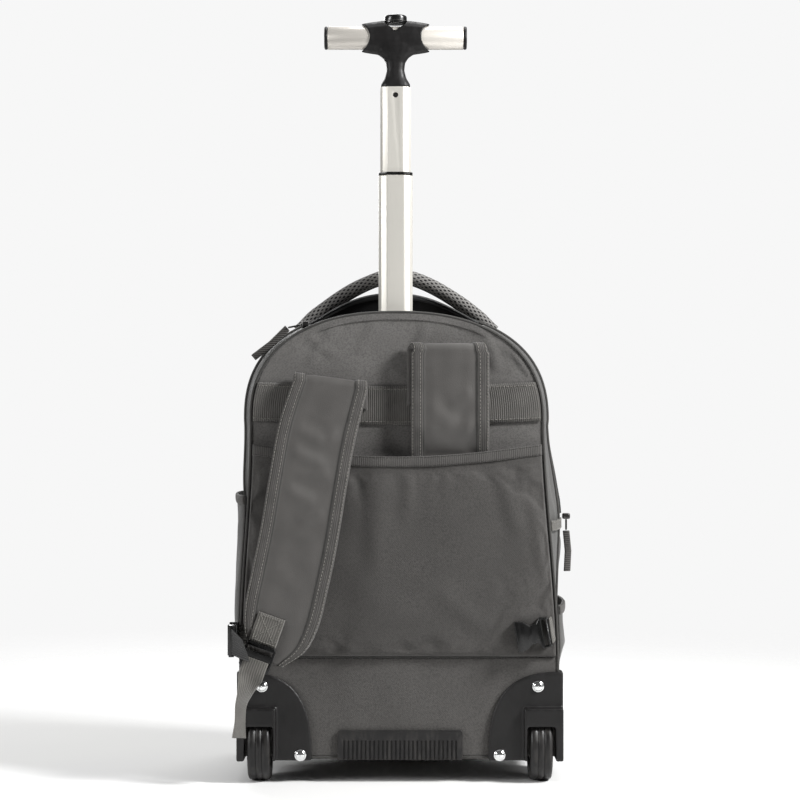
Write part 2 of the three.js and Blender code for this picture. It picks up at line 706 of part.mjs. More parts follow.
// Open-topped pockets on the two sides
function sidePocket(hand, top) {
  const shape = (u, v) => Math.pow(Math.sin(Math.PI * u), 0.5) * smooth(v / 0.3);
  return (extra) => (u, v) => {
    const y = lerp(SIDE_POCKET_BACK, SIDE_POCKET_BACK + SIDE_POCKET_LENGTH, u);
    const z = lerp(SIDE_POCKET_FOOT, top, v);
    const out = 2 * FIT + SIDE_POCKET_ROOM * shape(u, v) + extra;
    return new THREE.Vector3(sideX(y, z, hand) + hand * out, y, z);
  };
}
function buildSidePockets() {
  const pockets = [
    { side: "left", hand: -1, top: LEFT_POCKET_TOP },
    { side: "right", hand: 1, top: RIGHT_POCKET_TOP },
  ];
  const body = bodyForm(FIT);
  for (const { side, hand, top } of pockets) {
    const wall = sidePocket(hand, top);
    const panel = toSolid(sheet(wall(POCKET_CLOTH), wall(0), 10, 5)).subtract(body);
    addPiece("side_pocket_" + side, toGeometry(panel), "nylon");
    const foot = 1 - SIDE_BINDING / (top - SIDE_POCKET_FOOT);
    const rim = (extra) => (u, v) => wall(POCKET_CLOTH + 2 * FIT + extra)(u, lerp(foot, 1, v));
    addPiece("side_binding_" + side, sheet(rim(BINDING_THICK), rim(0), 10, 1), "webbing");
  }
}

// Padded carrying handle sewn to the top of the bag
function buildHandle() {
  const half = HANDLE_SPAN / 2;
  const course = (u) => {
    const z = HANDLE_TOP - HANDLE_RISE * Math.pow(Math.abs(u), HANDLE_POWER);
    return new THREE.Vector3(centreX(zTop) + half * u, HANDLE_DEPTH, z);
  };
  const rings = [];
  for (let i = 0; i <= HANDLE_STEPS; i++) {
    const u = lerp(-HANDLE_REACH, HANDLE_REACH, i / HANDLE_STEPS);
    const run = course(u + 0.01).sub(course(u - 0.01)).normalize();
    const outward = new THREE.Vector3(-run.z, 0, run.x);
    rings.push(
      Array.from({ length: HANDLE_SIDES }, (_, k) => {
        const round = (2 * Math.PI * k) / HANDLE_SIDES;
        const sideways = new THREE.Vector3(0, HANDLE_RADIUS * Math.sin(round), 0);
        return course(u).addScaledVector(outward, HANDLE_RADIUS * Math.cos(round)).add(sideways);
      }),
    );
  }
  const pieces = toSolid(loft(rings)).subtract(bodyForm(FIT)).decompose();
  const arch = pieces.reduce((most, one) => (one.volume() > most.volume() ? one : most));
  addPiece("grab_handle", toGeometry(arch), "mesh");
}

// A band of cloth along a route. A station has a place on the inner face and the directions across and out.
function ribbon(stations, width, thick) {
  return loft(
    stations.map(({ at, across, outward, narrow = 1, deep = thick }) => {
      const half = (width * narrow) / 2;
      const edge = Math.min(half * 0.3, deep);
      const corner = (x, y) => at.clone().addScaledVector(across, x).addScaledVector(outward, y);
      return [
        corner(-half, deep * 0.3),
        corner(-half + edge, 0),
        corner(half - edge, 0),
        corner(half, deep * 0.3),
        corner(half, deep * 0.7),
        corner(half - edge, deep),
        corner(-half + edge, deep),
        corner(-half, deep * 0.7),
      ];
    }),
  );
}

// The same stations with each outward direction turned square to the route and to the direction across
function squared(stations) {
  const last = stations.length - 1;
  return stations.map((station, i) => {
    const run = stations[Math.min(last, i + 1)].at.clone().sub(stations[Math.max(0, i - 1)].at);
    const outward = station.across.clone().cross(run).normalize();
    if (outward.dot(station.outward) < 0) outward.negate();
    return { ...station, outward };
  });
}

// Shoulder straps. Each is sewn to the webbing band, runs up, folds over and hangs down in front.
const sewY = -FIT - BAND_THICK - FIT;
const foldFront = -FOLD_DEPTH + STRAP_THICK;
const foldBack = sewY - STRAP_PLY;
const foldMiddle = (foldFront + foldBack) / 2;
const foldInner = (foldBack - foldFront) / 2;
const zSewn = BAND_TOP - BAND_SAG - BAND_WIDTH / 2;
const rearward = new THREE.Vector3(0, -1, 0);
function foldStations(x, lean, top) {
  const across = new THREE.Vector3(1, 0, -lean).normalize();
  const zFold = top - STRAP_THICK - foldInner;
  const stations = [zSewn, (zSewn + zFold) / 2].map((z) => ({
    at: new THREE.Vector3(x, foldBack, z),
    across,
    outward: new THREE.Vector3(0, 1, 0),
    deep: STRAP_PLY,
  }));
  for (let i = 0; i <= FOLD_STEPS; i++) {
    const turn = (Math.PI * i) / FOLD_STEPS;
    const outward = new THREE.Vector3(0, Math.cos(turn), Math.sin(turn));
    const at = new THREE.Vector3(x, foldMiddle, zFold).addScaledVector(outward, foldInner);
    stations.push({ at, across, outward, deep: lerp(STRAP_PLY, STRAP_THICK, i / FOLD_STEPS) });
  }
  return stations;
}

// The left strap's course below its fold, with its place across as a share of half the base's width
const LEFT_COURSE = [
  { along: 0.0, x: -0.4367, lean: 0.12, stand: 0.0, narrow: 0.96 },
  { along: 0.17, x: -0.5190, lean: 0.22, stand: 0.45, narrow: 1 },
  { along: 0.35, x: -0.5759, lean: 0.17, stand: 0.8, narrow: 1 },
  { along: 0.55, x: -0.6329, lean: 0.19, stand: 1.0, narrow: 1 },
  { along: 0.7, x: -0.6867, lean: 0.24, stand: 1.0, narrow: 1 },
  { along: 0.85, x: -0.7468, lean: 0.32, stand: 0.95, narrow: 0.96 },
  { along: 0.93, x: -0.7848, lean: 0.34, stand: 0.9, narrow: 0.8 },
  { along: 1.0, x: -0.8354, lean: 0.36, stand: 0.85, narrow: 0.42 },
];
const leftTop = LEFT_FOLD - STRAP_THICK - foldInner;
function leftCourse(along) {
  const column = (name) => readTable(LEFT_COURSE, "along", name, along);
  const z = lerp(leftTop, LEFT_FOLD - STRAP_LENGTH, along);
  return {
    at: new THREE.Vector3((column("x") * BASE_WIDTH) / 2, foldFront - STRAP_STAND * column("stand"), z),
    across: new THREE.Vector3(1, 0, -column("lean")).normalize(),
    outward: rearward,
    narrow: column("narrow"),
  };
}
function buildStraps() {
  const left = [];
  for (let i = 1; i <= STRAP_STEPS; i++) left.push(leftCourse(i / STRAP_STEPS));
  const leftFold = foldStations(leftCourse(0).at.x, LEFT_COURSE[0].lean, LEFT_FOLD);
  addPiece("strap_left", ribbon([...leftFold, ...left], STRAP_WIDTH, STRAP_THICK), "coated");

  const rightTop = RIGHT_FOLD - STRAP_THICK - foldInner;
  const rightEnd = LEFT_FOLD - STRAP_LENGTH + (RIGHT_FOLD - LEFT_FOLD);
  const mouth = POCKET_TOP - POCKET_SAG;
  const right = [];
  for (let i = 1; i <= STRAP_STEPS; i++) {
    const z = lerp(rightTop, rightEnd, i / STRAP_STEPS);
    const tucked = smooth((mouth + TUCK_RUN - z) / TUCK_RUN);
    right.push({
      at: new THREE.Vector3(RIGHT_STRAP_X, lerp(foldFront, -FIT, tucked), z),
      across: new THREE.Vector3(1, 0, 0),
      outward: rearward,
      deep: lerp(STRAP_THICK, STRAP_PLY, tucked),
    });
  }
  const rightFold = foldStations(RIGHT_STRAP_X, 0, RIGHT_FOLD);
  addPiece("strap_right", ribbon([...rightFold, ...right], STRAP_WIDTH, STRAP_THICK), "coated");
}

// A flat piece from an outline in its own plane, centred on its thickness
function cutout(outline, holes, thick) {
  const shape = new THREE.Shape(outline.map(([x, y]) => new THREE.Vector2(x, y)));
  for (const hole of holes) shape.holes.push(new THREE.Path(hole.map(([x, y]) => new THREE.Vector2(x, y))));
  const geometry = new THREE.ExtrudeGeometry(shape, { depth: thick, bevelEnabled: false });
  return geometry.translate(0, 0, -thick / 2);
}
const slot = (cx, cy, wide, high) => [
  [cx - wide / 2, cy - high / 2],
  [cx + wide / 2, cy - high / 2],
  [cx + wide / 2, cy + high / 2],
  [cx - wide / 2, cy + high / 2],
];
const rounded = (wide, high, corner) => [
  [-wide / 2 + corner, -high / 2],
  [wide / 2 - corner, -high / 2],
  [wide / 2, -high / 2 + corner],
  [wide / 2, high / 2 - corner],
  [wide / 2 - corner, high / 2],
  [-wide / 2 + corner, high / 2],
  [-wide / 2, high / 2 - corner],
  [-wide / 2, -high / 2 + corner],
];

// Adjuster at the left strap's lower end: sewn patch, ladder lock, webbing to the buckle, and tail
const PATCH_TOP_ALONG = 0.82; // top of the patch, as a share of the strap's length
const patchTilt = Math.atan(LEFT_COURSE[LEFT_COURSE.length - 1].lean);
function tilted(geometry, turn, x, y, z) {
  return geometry.rotateX(Math.PI / 2).rotateY(turn).translate(x, y, z);
}
function buildAdjuster() {
  const seat = leftCourse(PATCH_TOP_ALONG).at.y - STRAP_THICK;
  const patchY = seat - FIT - PATCH_THICK / 2;
  const patch = cutout(slot(0, 0, WEBBING + PATCH_MARGIN, PATCH_LENGTH), [], PATCH_THICK);
  addPiece("strap_patch", tilted(patch, patchTilt, PATCH_X, patchY, PATCH_Z), "webbing");
  const step = PATCH_LENGTH / 2 + FIT + LOCK_HEIGHT / 2;
  const lockX = PATCH_X - step * Math.sin(patchTilt);
  const lockZ = PATCH_Z - step * Math.cos(patchTilt);
  const lockY = patchY + PATCH_THICK / 2 - LOCK_THICK / 2;
  const openings = LOCK_SLOTS.map((share) =>
    slot(0, share * LOCK_HEIGHT, WEBBING + WEBBING_PLAY, LOCK_HEIGHT * LOCK_SLOT),
  );
  const lock = cutout(rounded(LOCK_WIDTH, LOCK_HEIGHT, LOCK_CORNER), openings, LOCK_THICK);
  addPiece("ladder_lock", tilted(lock, patchTilt, lockX, lockY, lockZ), "gloss");

  const frontY = lockY - LOCK_THICK / 2 - FIT;
  const down = new THREE.Vector3(-Math.sin(patchTilt), 0, -Math.cos(patchTilt));
  const across = new THREE.Vector3(Math.cos(patchTilt), 0, -Math.sin(patchTilt));
  const middle = new THREE.Vector3(lockX, frontY, lockZ);
  const tail = [
    { at: middle.clone().addScaledVector(down, LOCK_HEIGHT * 0.06), across, outward: rearward },
    { at: middle.clone().addScaledVector(down, LOCK_HEIGHT * 0.6), across, outward: rearward },
  ];
  for (const { drop, x, y, turn } of TAIL_COURSE) {
    const angle = (turn * Math.PI) / 180;
    tail.push({
      at: new THREE.Vector3(lockX + x, frontY + y, lockZ - drop * TAIL_LENGTH),
      across: new THREE.Vector3(Math.cos(angle), Math.sin(angle), -0.3 * Math.cos(angle)).normalize(),
      outward: new THREE.Vector3(Math.sin(angle), -Math.cos(angle), 0),
    });
  }
  addPiece("strap_tail", ribbon(squared(tail), WEBBING, WEBBING_THICK), "webbing");

  const barY = -BUCKLE_SEAT - BUCKLE_LENGTH - MALE_LENGTH - FIT;
  const loop = ADJUSTER_COURSE.map(({ share, out, turn }) => {
    const angle = (turn * Math.PI) / 180;
    const start = new THREE.Vector3(-LEFT_BUCKLE_X, barY - 2 * FIT - WEBBING_THICK, LEFT_BUCKLE_Z);
    const at = start.lerp(middle.clone().addScaledVector(down, -LOCK_HEIGHT * LOOP_SEAT), share);
    at.y -= out;
    return { at, across: new THREE.Vector3(-Math.sin(angle), 0, Math.cos(angle)), outward: rearward };
  });
  addPiece("adjuster_webbing", ribbon(squared(loop), WEBBING, WEBBING_THICK), "webbing");
}

// Outline of the female half: place as a share of its length, flare from waist to full width
const BUCKLE_OUTLINE = [
  { along: 0.0, flare: 0.85 },
  { along: 0.26, flare: 1.0 },
  { along: 0.38, flare: 0.15 },
  { along: 0.55, flare: 0.0 },
  { along: 0.75, flare: 0.77 },
  { along: 1.0, flare: 1.0 },
];
// Side-release buckles. A buckle points along its own +X, with its width on Y and its thickness on Z.
function femaleBuckle() {
  const half = BUCKLE_WIDTH / 2;
  const waist = BUCKLE_WAIST / 2;
  const corner = ({ along, flare }) => [along * BUCKLE_LENGTH, -lerp(waist, half, flare)];
  const outline = BUCKLE_OUTLINE.map(corner);
  const flipped = outline.map(([x, y]) => [x, -y]).reverse();
  const hole = slot(BUCKLE_BAR + BUCKLE_SLOT / 2, 0, BUCKLE_SLOT, WEBBING + WEBBING_PLAY);
  const body = toSolid(cutout([...outline, ...flipped], [hole], BUCKLE_THICK));
  const room = boxBetween(
    [BUCKLE_LENGTH - BUCKLE_REACH, -waist + BUCKLE_WALL, -BUCKLE_THICK / 2 + BUCKLE_WALL],
    [BUCKLE_LENGTH + 1, waist - BUCKLE_WALL, BUCKLE_THICK / 2 - BUCKLE_WALL],
  );
  return toGeometry(body.subtract(toSolid(room)));
}
function maleBuckle() {
  const half = BUCKLE_WIDTH / 2;
  const inside = BUCKLE_WAIST / 2 - BUCKLE_WALL - FIT;
  const outline = [
    [MALE_LENGTH, -half],
    [MALE_LENGTH, half],
    [0, half],
    [0, inside],
    [-BUCKLE_REACH + FIT, inside],
    [-BUCKLE_REACH + FIT, -inside],
    [0, -inside],
    [0, -half],
  ];
  const thick = BUCKLE_THICK - 2 * (BUCKLE_WALL + FIT);
  const hole = slot(MALE_LENGTH - BUCKLE_BAR - BUCKLE_SLOT / 2, 0, BUCKLE_SLOT, WEBBING + WEBBING_PLAY);
  return cutout(outline, [hole], thick);
}
function buildBuckles() {
  const place = (geometry, basis, origin) =>
    geometry.applyMatrix4(new THREE.Matrix4().makeBasis(...basis).setPosition(...origin));
  const Z = new THREE.Vector3(0, 0, 1);
  const edgeOn = [rearward, Z, rearward.clone().cross(Z)];
  addPiece(
    "buckle_left_female",
    place(femaleBuckle(), edgeOn, [-LEFT_BUCKLE_X, -BUCKLE_SEAT, LEFT_BUCKLE_Z]),
    "gloss",
  );
  addPiece(
    "buckle_left_male",
    place(maleBuckle(), edgeOn, [-LEFT_BUCKLE_X, -BUCKLE_SEAT - BUCKLE_LENGTH - FIT, LEFT_BUCKLE_Z]),
    "gloss",
  );
  const along = new THREE.Vector3(-Math.cos(BUCKLE_TILT), 0, -Math.sin(BUCKLE_TILT));
  const wide = new THREE.Vector3(Math.sin(BUCKLE_TILT), 0, -Math.cos(BUCKLE_TILT));
  const flat = [along, wide, along.clone().cross(wide)];
  const rightY = -BUCKLE_LIFT - BUCKLE_THICK / 2;
  addPiece(
    "buckle_right_female",
    place(femaleBuckle(), flat, [RIGHT_BUCKLE_X, rightY, RIGHT_BUCKLE_Z]),
    "gloss",
  );
  const seam = (z, hand) => centreX(z) + hand * halfWidth(z);
  const tabs = [
    {
      name: "buckle_tab_right",
      across: wide,
      points: [
        new THREE.Vector3(seam(RIGHT_BUCKLE_Z, 1) - 4, -TAB_LIFT, RIGHT_BUCKLE_Z + 2),
        new THREE.Vector3(RIGHT_BUCKLE_X + FIT, rightY + WEBBING_THICK / 2, RIGHT_BUCKLE_Z),
      ],
    },
    {
      name: "buckle_tab_left",
      across: Z,
      points: [
        new THREE.Vector3(seam(LEFT_BUCKLE_Z, -1) + 5, -TAB_LIFT, LEFT_BUCKLE_Z),
        new THREE.Vector3(-LEFT_BUCKLE_X, -BUCKLE_SEAT + 2 * FIT + WEBBING_THICK, LEFT_BUCKLE_Z),
      ],
    },
  ];
  for (const { name, across, points } of tabs) {
    const run = points[1].clone().sub(points[0]).normalize();
    const outward = run.clone().cross(across).normalize();
    if (outward.y > 0) outward.negate();
    const stations = points.map((at) => ({ at, across, outward }));
    addPiece(name, ribbon(stations, WEBBING, WEBBING_THICK), "webbing");
  }
}

// Zip pulls: a slider, a wire link and a tag each
function zipPull(side, slider, aim, linkLength, tagEnd) {
  const sliderPiece = new THREE.BoxGeometry(...SLIDER).translate(slider.x, slider.y, slider.z);
  addPiece("zip_slider_" + side, sliderPiece, "zinc");
  const start = slider.clone().addScaledVector(aim, aim.x ? SLIDER[0] / 2 + FIT : SLIDER[2] / 2 + FIT);
  const end = start.clone().addScaledVector(aim, linkLength);
  const sideways = new THREE.Vector3(0, 1, 0);
  const face = aim.clone().cross(sideways).normalize();
  const window = slot(0, 0, linkLength - 2 * LINK_WIRE, LINK_WIDTH - 2 * LINK_WIRE);
  const link = cutout(rounded(linkLength, LINK_WIDTH, LINK_CORNER), [window], LINK_THICK);
  const middle = start.clone().lerp(end, 0.5);
  link.applyMatrix4(new THREE.Matrix4().makeBasis(aim, sideways, face).setPosition(middle));
  addPiece("zip_link_" + side, link, "zinc");
  const run = tagEnd.clone().sub(end).normalize();
  const out = run.clone().cross(sideways).normalize();
  const tagStart = end.clone().addScaledVector(run, FIT + 0.4);
  const half = TAG_THICK / 2;
  const stations = [0, 0.5, 1].map((share) => {
    const bow = TAG_BOW * Math.sin(Math.PI * share);
    const at = tagStart.clone().lerp(tagEnd, share).addScaledVector(out, bow).addScaledVector(sideways, half);
    return { at, across: out, outward: rearward };
  });
  addPiece("zip_tag_" + side, ribbon(stations, TAG_WIDTH, TAG_THICK), "rubber");
}
function buildZipPulls() {
  const mouthEnd = centreX(zTop) - MOUTH_LEFT - FIT;
  const middleY = yGusset + TROLLEY_DEPTH / 2;
  const gussetTop = archPoint(() => middleY, archTurn(-MOUTH_LEFT)).z;
  const leftZ = gussetTop + SLIDER_SEAT + SLIDER[2] / 2;
  const left = new THREE.Vector3(mouthEnd - SLIDER[0] / 2 + SLIDER_LAP, middleY, leftZ);
  const leftAim = new THREE.Vector3(-0.98, 0, -0.2).normalize();
  const leftEnd = new THREE.Vector3(left.x - LEFT_PULL_REACH, middleY, leftZ - LEFT_PULL_DROP);
  zipPull("left", left, leftAim, LEFT_LINK, leftEnd);
  const zipFace = sideX(ZIP_DEPTH, ZIP_END, 1) + FIT + ZIP_THICK;
  const right = new THREE.Vector3(zipFace + SLIDER[0] / 2 + ZIP_COIL + ZIP_SEAT, ZIP_DEPTH, ZIP_END + 1);
  const rightAim = new THREE.Vector3(0, 0, -1);
  const rightEnd = new THREE.Vector3(right.x + 1, ZIP_DEPTH, ZIP_END - RIGHT_PULL_LENGTH);
  zipPull("right", right, rightAim, RIGHT_LINK, rightEnd);
}

// Wheel housings: a corner shell over the bag, a box round the wheel, and a raised step round the arch
const housingSide = WHEEL_X + WHEEL_WIDTH / 2 + WHEEL_GAP + CHEEK;
const housingLow = zBase - FIT - HOUSING_WALL;
const housingBack = -FIT - HOUSING_WALL;
const wellX = [WHEEL_X - WHEEL_WIDTH / 2 - WHEEL_GAP, WHEEL_X + WHEEL_WIDTH / 2 + WHEEL_GAP];
function quarterShape(wide, high) {
  const shape = new THREE.Shape();
  shape.moveTo(0, 0);
  for (let i = 0; i <= HOUSING_STEPS; i++) {
    const turn = (Math.PI / 2) * (i / HOUSING_STEPS);
    const bulge = (part) => Math.pow(Math.max(0, part), 2 / HOUSING_POWER);
    shape.lineTo(wide * bulge(Math.cos(turn)), high * bulge(Math.sin(turn)));
  }
  return shape;
}
// An extruded outline stood up: its first axis runs across, its second up and its depth through
function stood(shape, depth, across, through, origin) {
  const geometry = new THREE.ExtrudeGeometry(shape, { depth, bevelEnabled: false, curveSegments: 10 });
  const basis = new THREE.Matrix4().makeBasis(across, new THREE.Vector3(0, 0, 1), through);
  geometry.applyMatrix4(basis.setPosition(...origin));
  if (basis.determinant() < 0) {
    const flipped = mergeVertices(bareGeometry(geometry), 1e-4);
    flipped.setIndex(Array.from(flipped.index.array).reverse());
    return flipped;
  }
  return geometry;
}
function cylinderAcross(radius, from, to, y, z, segments = 36) {
  const geometry = new THREE.CylinderGeometry(radius, radius, to - from, segments);
  return geometry.rotateZ(Math.PI / 2).translate((from + to) / 2, y, z);
}
function housingSolid(hand) {
  const alongX = new THREE.Vector3(1, 0, 0);
  const alongY = new THREE.Vector3(0, 1, 0);
  const inward = alongX.clone().negate();
  const faceOn = stood(
    quarterShape(HOUSING_WIDTH, HOUSING_HEIGHT),
    HOUSING_DEPTH,
    inward,
    alongY,
    [housingSide, housingBack, housingLow],
  );
  const sideOn = stood(
    quarterShape(HOUSING_DEPTH, HOUSING_HEIGHT),
    HOUSING_WIDTH,
    alongY,
    alongX,
    [housingSide - HOUSING_WIDTH, housingBack, housingLow],
  );
  const corner = toSolid(faceOn).intersect(toSolid(sideOn));
  const box = boxBetween([wellInner, housingBack, housingLow], [housingSide, wellFront, wellTop]);
  const bezelLow = [wellInner, housingBack - BEZEL_PROUD, housingLow];
  const bezel = boxBetween(bezelLow, [housingSide, housingBack + 1, wellTop - BEZEL_DROP]);
  const far = 2 * BEZEL_PROUD;
  const rearRoom = boxBetween([wellX[0], housingBack - far, -1], [wellX[1], AXLE_DEPTH, ARCH_OPENING]);
  const lowRoom = boxBetween(
    [wellX[0], housingBack - far, -1],
    [wellX[1], AXLE_DEPTH + WHEEL_RADIUS + WELL_GAP, WHEEL_RADIUS],
  );
  const round = cylinderAcross(WHEEL_RADIUS + WELL_GAP, wellX[0], wellX[1], AXLE_DEPTH, WHEEL_RADIUS);
  const bore = cylinderAcross(
    AXLE_RADIUS + FIT,
    wellX[0] - HOUSING_WALL / 2,
    housingSide + 1,
    AXLE_DEPTH,
    WHEEL_RADIUS,
    16,
  );
  const bag = bodyForm(FIT, -FIT);
  return corner
    .subtract(hand < 0 ? bag.mirror([1, 0, 0]) : bag)
    .add(toSolid(box))
    .add(toSolid(bezel))
    .subtract(toSolid(rearRoom))
    .subtract(toSolid(lowRoom))
    .subtract(toSolid(round))
    .subtract(toSolid(bore));
}
function mirrored(geometry) {
  const copy = mergeVertices(bareGeometry(geometry.clone()), 1e-4);
  copy.scale(-1, 1, 1);
  copy.setIndex(Array.from(copy.index.array).reverse());
  return copy;
}
const onHand = (geometry, hand) => (hand > 0 ? geometry : mirrored(geometry));
function dome(radius, proud) {
  const profile = [new THREE.Vector2(0, 0), new THREE.Vector2(radius, 0)];
  for (let i = 1; i <= 4; i++) {
    const turn = (Math.PI / 2) * (i / 4);
    profile.push(new THREE.Vector2(radius * Math.cos(turn), proud * (0.25 + 0.75 * Math.sin(turn))));
  }
  return new THREE.LatheGeometry(profile, 14);
}
function buildHousings() {
  for (const { side, hand } of HANDS) {
    addPiece("housing_" + side, onHand(toGeometry(housingSolid(hand)), hand), "plastic");
    const upper = dome(RIVET_RADIUS, RIVET_PROUD)
      .rotateX(Math.PI)
      .translate(hand * UPPER_RIVET[0], housingBack - FIT, UPPER_RIVET[1]);
    addPiece("rivet_upper_" + side, upper, "chrome");
    const lower = dome(RIVET_RADIUS, RIVET_PROUD)
      .rotateX(Math.PI)
      .translate(hand * LOWER_RIVET_X, housingBack - FIT, housingLow + RIVET_RADIUS);
    addPiece("rivet_lower_" + side, lower, "chrome");
    const axle = cylinderAcross(
      AXLE_RADIUS,
      wellX[0] - HOUSING_WALL / 2 + FIT,
      housingSide - AXLE_SINK,
      AXLE_DEPTH,
      WHEEL_RADIUS,
      16,
    );
    addPiece("axle_" + side, onHand(axle, hand), "chrome");
  }
}

// Wheels
function lathedWheel(profile, hand, sides) {
  const points = profile.map(([radius, x]) => new THREE.Vector2(radius, x));
  const geometry = new THREE.LatheGeometry([...points, points[0].clone()], sides);
  return geometry.rotateZ(Math.PI / 2).translate(hand * WHEEL_X, AXLE_DEPTH, WHEEL_RADIUS);
}
function buildWheels() {
  const half = WHEEL_WIDTH / 2;
  const tread = [
    [HUB_RADIUS + FIT, -half + TREAD_DISH],
    [WHEEL_RADIUS - TREAD_SHOULDER, -half],
    [WHEEL_RADIUS, -half + TREAD_SHOULDER],
    [WHEEL_RADIUS, half - TREAD_SHOULDER],
    [WHEEL_RADIUS - TREAD_SHOULDER, half],
    [HUB_RADIUS + FIT, half - TREAD_DISH],
  ];
  const bore = AXLE_RADIUS + AXLE_PLAY;
  const boss = bore + HUB_BOSS;
  const rim = HUB_RADIUS - HUB_RIM;
  const web = HUB_WEB / 2;
  const hub = [
    [bore, -half + BOSS_DISH],
    [boss, -half + BOSS_DISH],
    [boss, -web],
    [rim, -web],
    [rim, -half + RIM_DISH],
    [HUB_RADIUS, -half + RIM_DISH],
    [HUB_RADIUS, half - RIM_DISH],
    [rim, half - RIM_DISH],
    [rim, web],
    [boss, web],
    [boss, half - BOSS_DISH],
    [bore, half - BOSS_DISH],
  ];
  for (const { side, hand } of HANDS) {
    addPiece("tyre_" + side, lathedWheel(tread, hand, WHEEL_SIDES), "rubber");
    addPiece("wheel_hub_" + side, lathedWheel(hub, hand, WHEEL_SIDES / 2), "plastic");
  }
}

// Ribbed guard on the lower rear edge, and the front foot
function buildGuardAndFoot() {
  const back = -FIT - GUARD_THICK;
  const low = zBase - FIT - GUARD_THICK;
  const half = GUARD_WIDTH / 2;
  const top = zBase + GUARD_RISE;
  const shape = new THREE.Shape();
  shape.moveTo(-half, low);
  shape.lineTo(half, low);
  shape.lineTo(half, top - GUARD_CORNER);
  shape.absarc(half - GUARD_CORNER, top - GUARD_CORNER, GUARD_CORNER, 0, Math.PI / 2, false);
  shape.lineTo(-half + GUARD_CORNER, top);
  shape.absarc(-half + GUARD_CORNER, top - GUARD_CORNER, GUARD_CORNER, Math.PI / 2, Math.PI, false);
  const reach = GUARD_REACH - back;
  const alongX = new THREE.Vector3(1, 0, 0);
  const block = stood(shape, reach, alongX, new THREE.Vector3(0, 1, 0), [0, back, 0]);
  const inside = boxBetween([-half - 1, -FIT, zBase - FIT], [half + 1, reach + 1, top + 1]);
  let guard = toSolid(block).subtract(toSolid(inside));
  const ribTop = low + GUARD_RISE * RIB_SHARE;
  const count = Math.floor((GUARD_WIDTH - 2 * GUARD_FRAME) / RIB_PITCH);
  for (let i = 0; i < count; i++) {
    const x = (i - (count - 1) / 2) * RIB_PITCH;
    const groove = boxBetween(
      [x - RIB_GROOVE / 2, back - 1, low - 1],
      [x + RIB_GROOVE / 2, back + RIB_DEEP, ribTop],
    );
    guard = guard.subtract(toSolid(groove));
  }
  addPiece("bottom_guard", toGeometry(guard.translate(centreX(zBase), 0, 0)), "rubber");
  const rear = BASE_DEPTH - FOOT_SETBACK - FOOT_DEPTH;
  const footShape = new THREE.Shape(
    rounded(FOOT_WIDTH, FOOT_DEPTH, FOOT_CORNER).map(([x, y]) => new THREE.Vector2(x, y)),
  );
  const foot = new THREE.ExtrudeGeometry(footShape, { depth: zBase - FIT, bevelEnabled: false });
  foot.translate(0, rear + FOOT_DEPTH / 2, 0);
  addPiece("front_foot", foot, "plastic");
}

// Telescopic pole: the inner tube's section, with a flat front and back and sloping sides, grown all round
function tubeRing(grow) {
  const half = INNER_WIDTH / 2 + grow;
  const deep = (INNER_WIDTH * TUBE_SLIMNESS) / 2 + grow;
  const flat = (INNER_WIDTH * TUBE_FLAT) / 2 + grow * 0.5;
  const shoulder = half - (half - flat) * 0.32;
  const quarter = [
    [flat, deep],
    [shoulder, deep * 0.8],
    [half, deep * 0.36],
  ];
  const back = quarter.map(([x, y]) => [x, -y]);
  const left = [...back, ...quarter.toReversed()].map(([x, y]) => [-x, y]).reverse();
  return [...back, ...quarter.toReversed(), ...left].map(
    ([x, y]) => new THREE.Vector2(POLE_X + x, poleY + y),
  );
}
function tube(outside, inside, low, high) {
  const shape = new THREE.Shape(tubeRing(outside));
  if (inside !== null) shape.holes.push(new THREE.Path(tubeRing(inside)));
  return new THREE.ExtrudeGeometry(shape, { depth: high - low, bevelEnabled: false }).translate(0, 0, low);
}
const TUBE_STEP = TUBE_SLACK + TUBE_WALL;
const middleTop = COLLAR_TOP - COLLAR_HEIGHT - FIT;
function buildPole() {
  const floorTop = zBase + CLOTH + FIT;
  const outer = tube(2 * TUBE_STEP, TUBE_STEP + TUBE_SLACK, floorTop, OUTER_TOP);
  addPiece("outer_tube", outer, "satin");
  const middle = tube(TUBE_STEP, TUBE_SLACK, OUTER_TOP - TUBE_OVERLAP, middleTop);
  addPiece("middle_tube", middle, "satin");
  addPiece("tube_collar", tube(TUBE_STEP, TUBE_SLACK, middleTop + FIT, COLLAR_TOP), "plastic");
  const inner = tube(0, -TUBE_WALL, COLLAR_TOP - TUBE_OVERLAP, GRIP_BASE - FIT);
  const hole = new THREE.CylinderGeometry(PIN_RADIUS, PIN_RADIUS, INNER_WIDTH / 2, 14);
  hole.translate(POLE_X, poleY - INNER_WIDTH / 2, GRIP_BASE - PIN_DROP);
  addPiece("inner_tube", toGeometry(toSolid(inner).subtract(toSolid(hole))), "satin");
}

// Grip: hub with a neck that plugs into the inner tube, bar with end caps, button and pin
const barZ = GRIP_BASE + NECK_HEIGHT;
function gripSection(z, half, deep) {
  const ring = [];
  for (let i = 0; i < GRIP_SIDES; i++) {
    const turn = (2 * Math.PI * (i + 0.5)) / GRIP_SIDES;
    const bulge = (part) => Math.sign(part) * Math.pow(Math.abs(part), NECK_ROUNDNESS);
    const y = poleY + deep * bulge(Math.sin(turn));
    ring.push(new THREE.Vector3(POLE_X + half * bulge(Math.cos(turn)), y, z));
  }
  return ring;
}
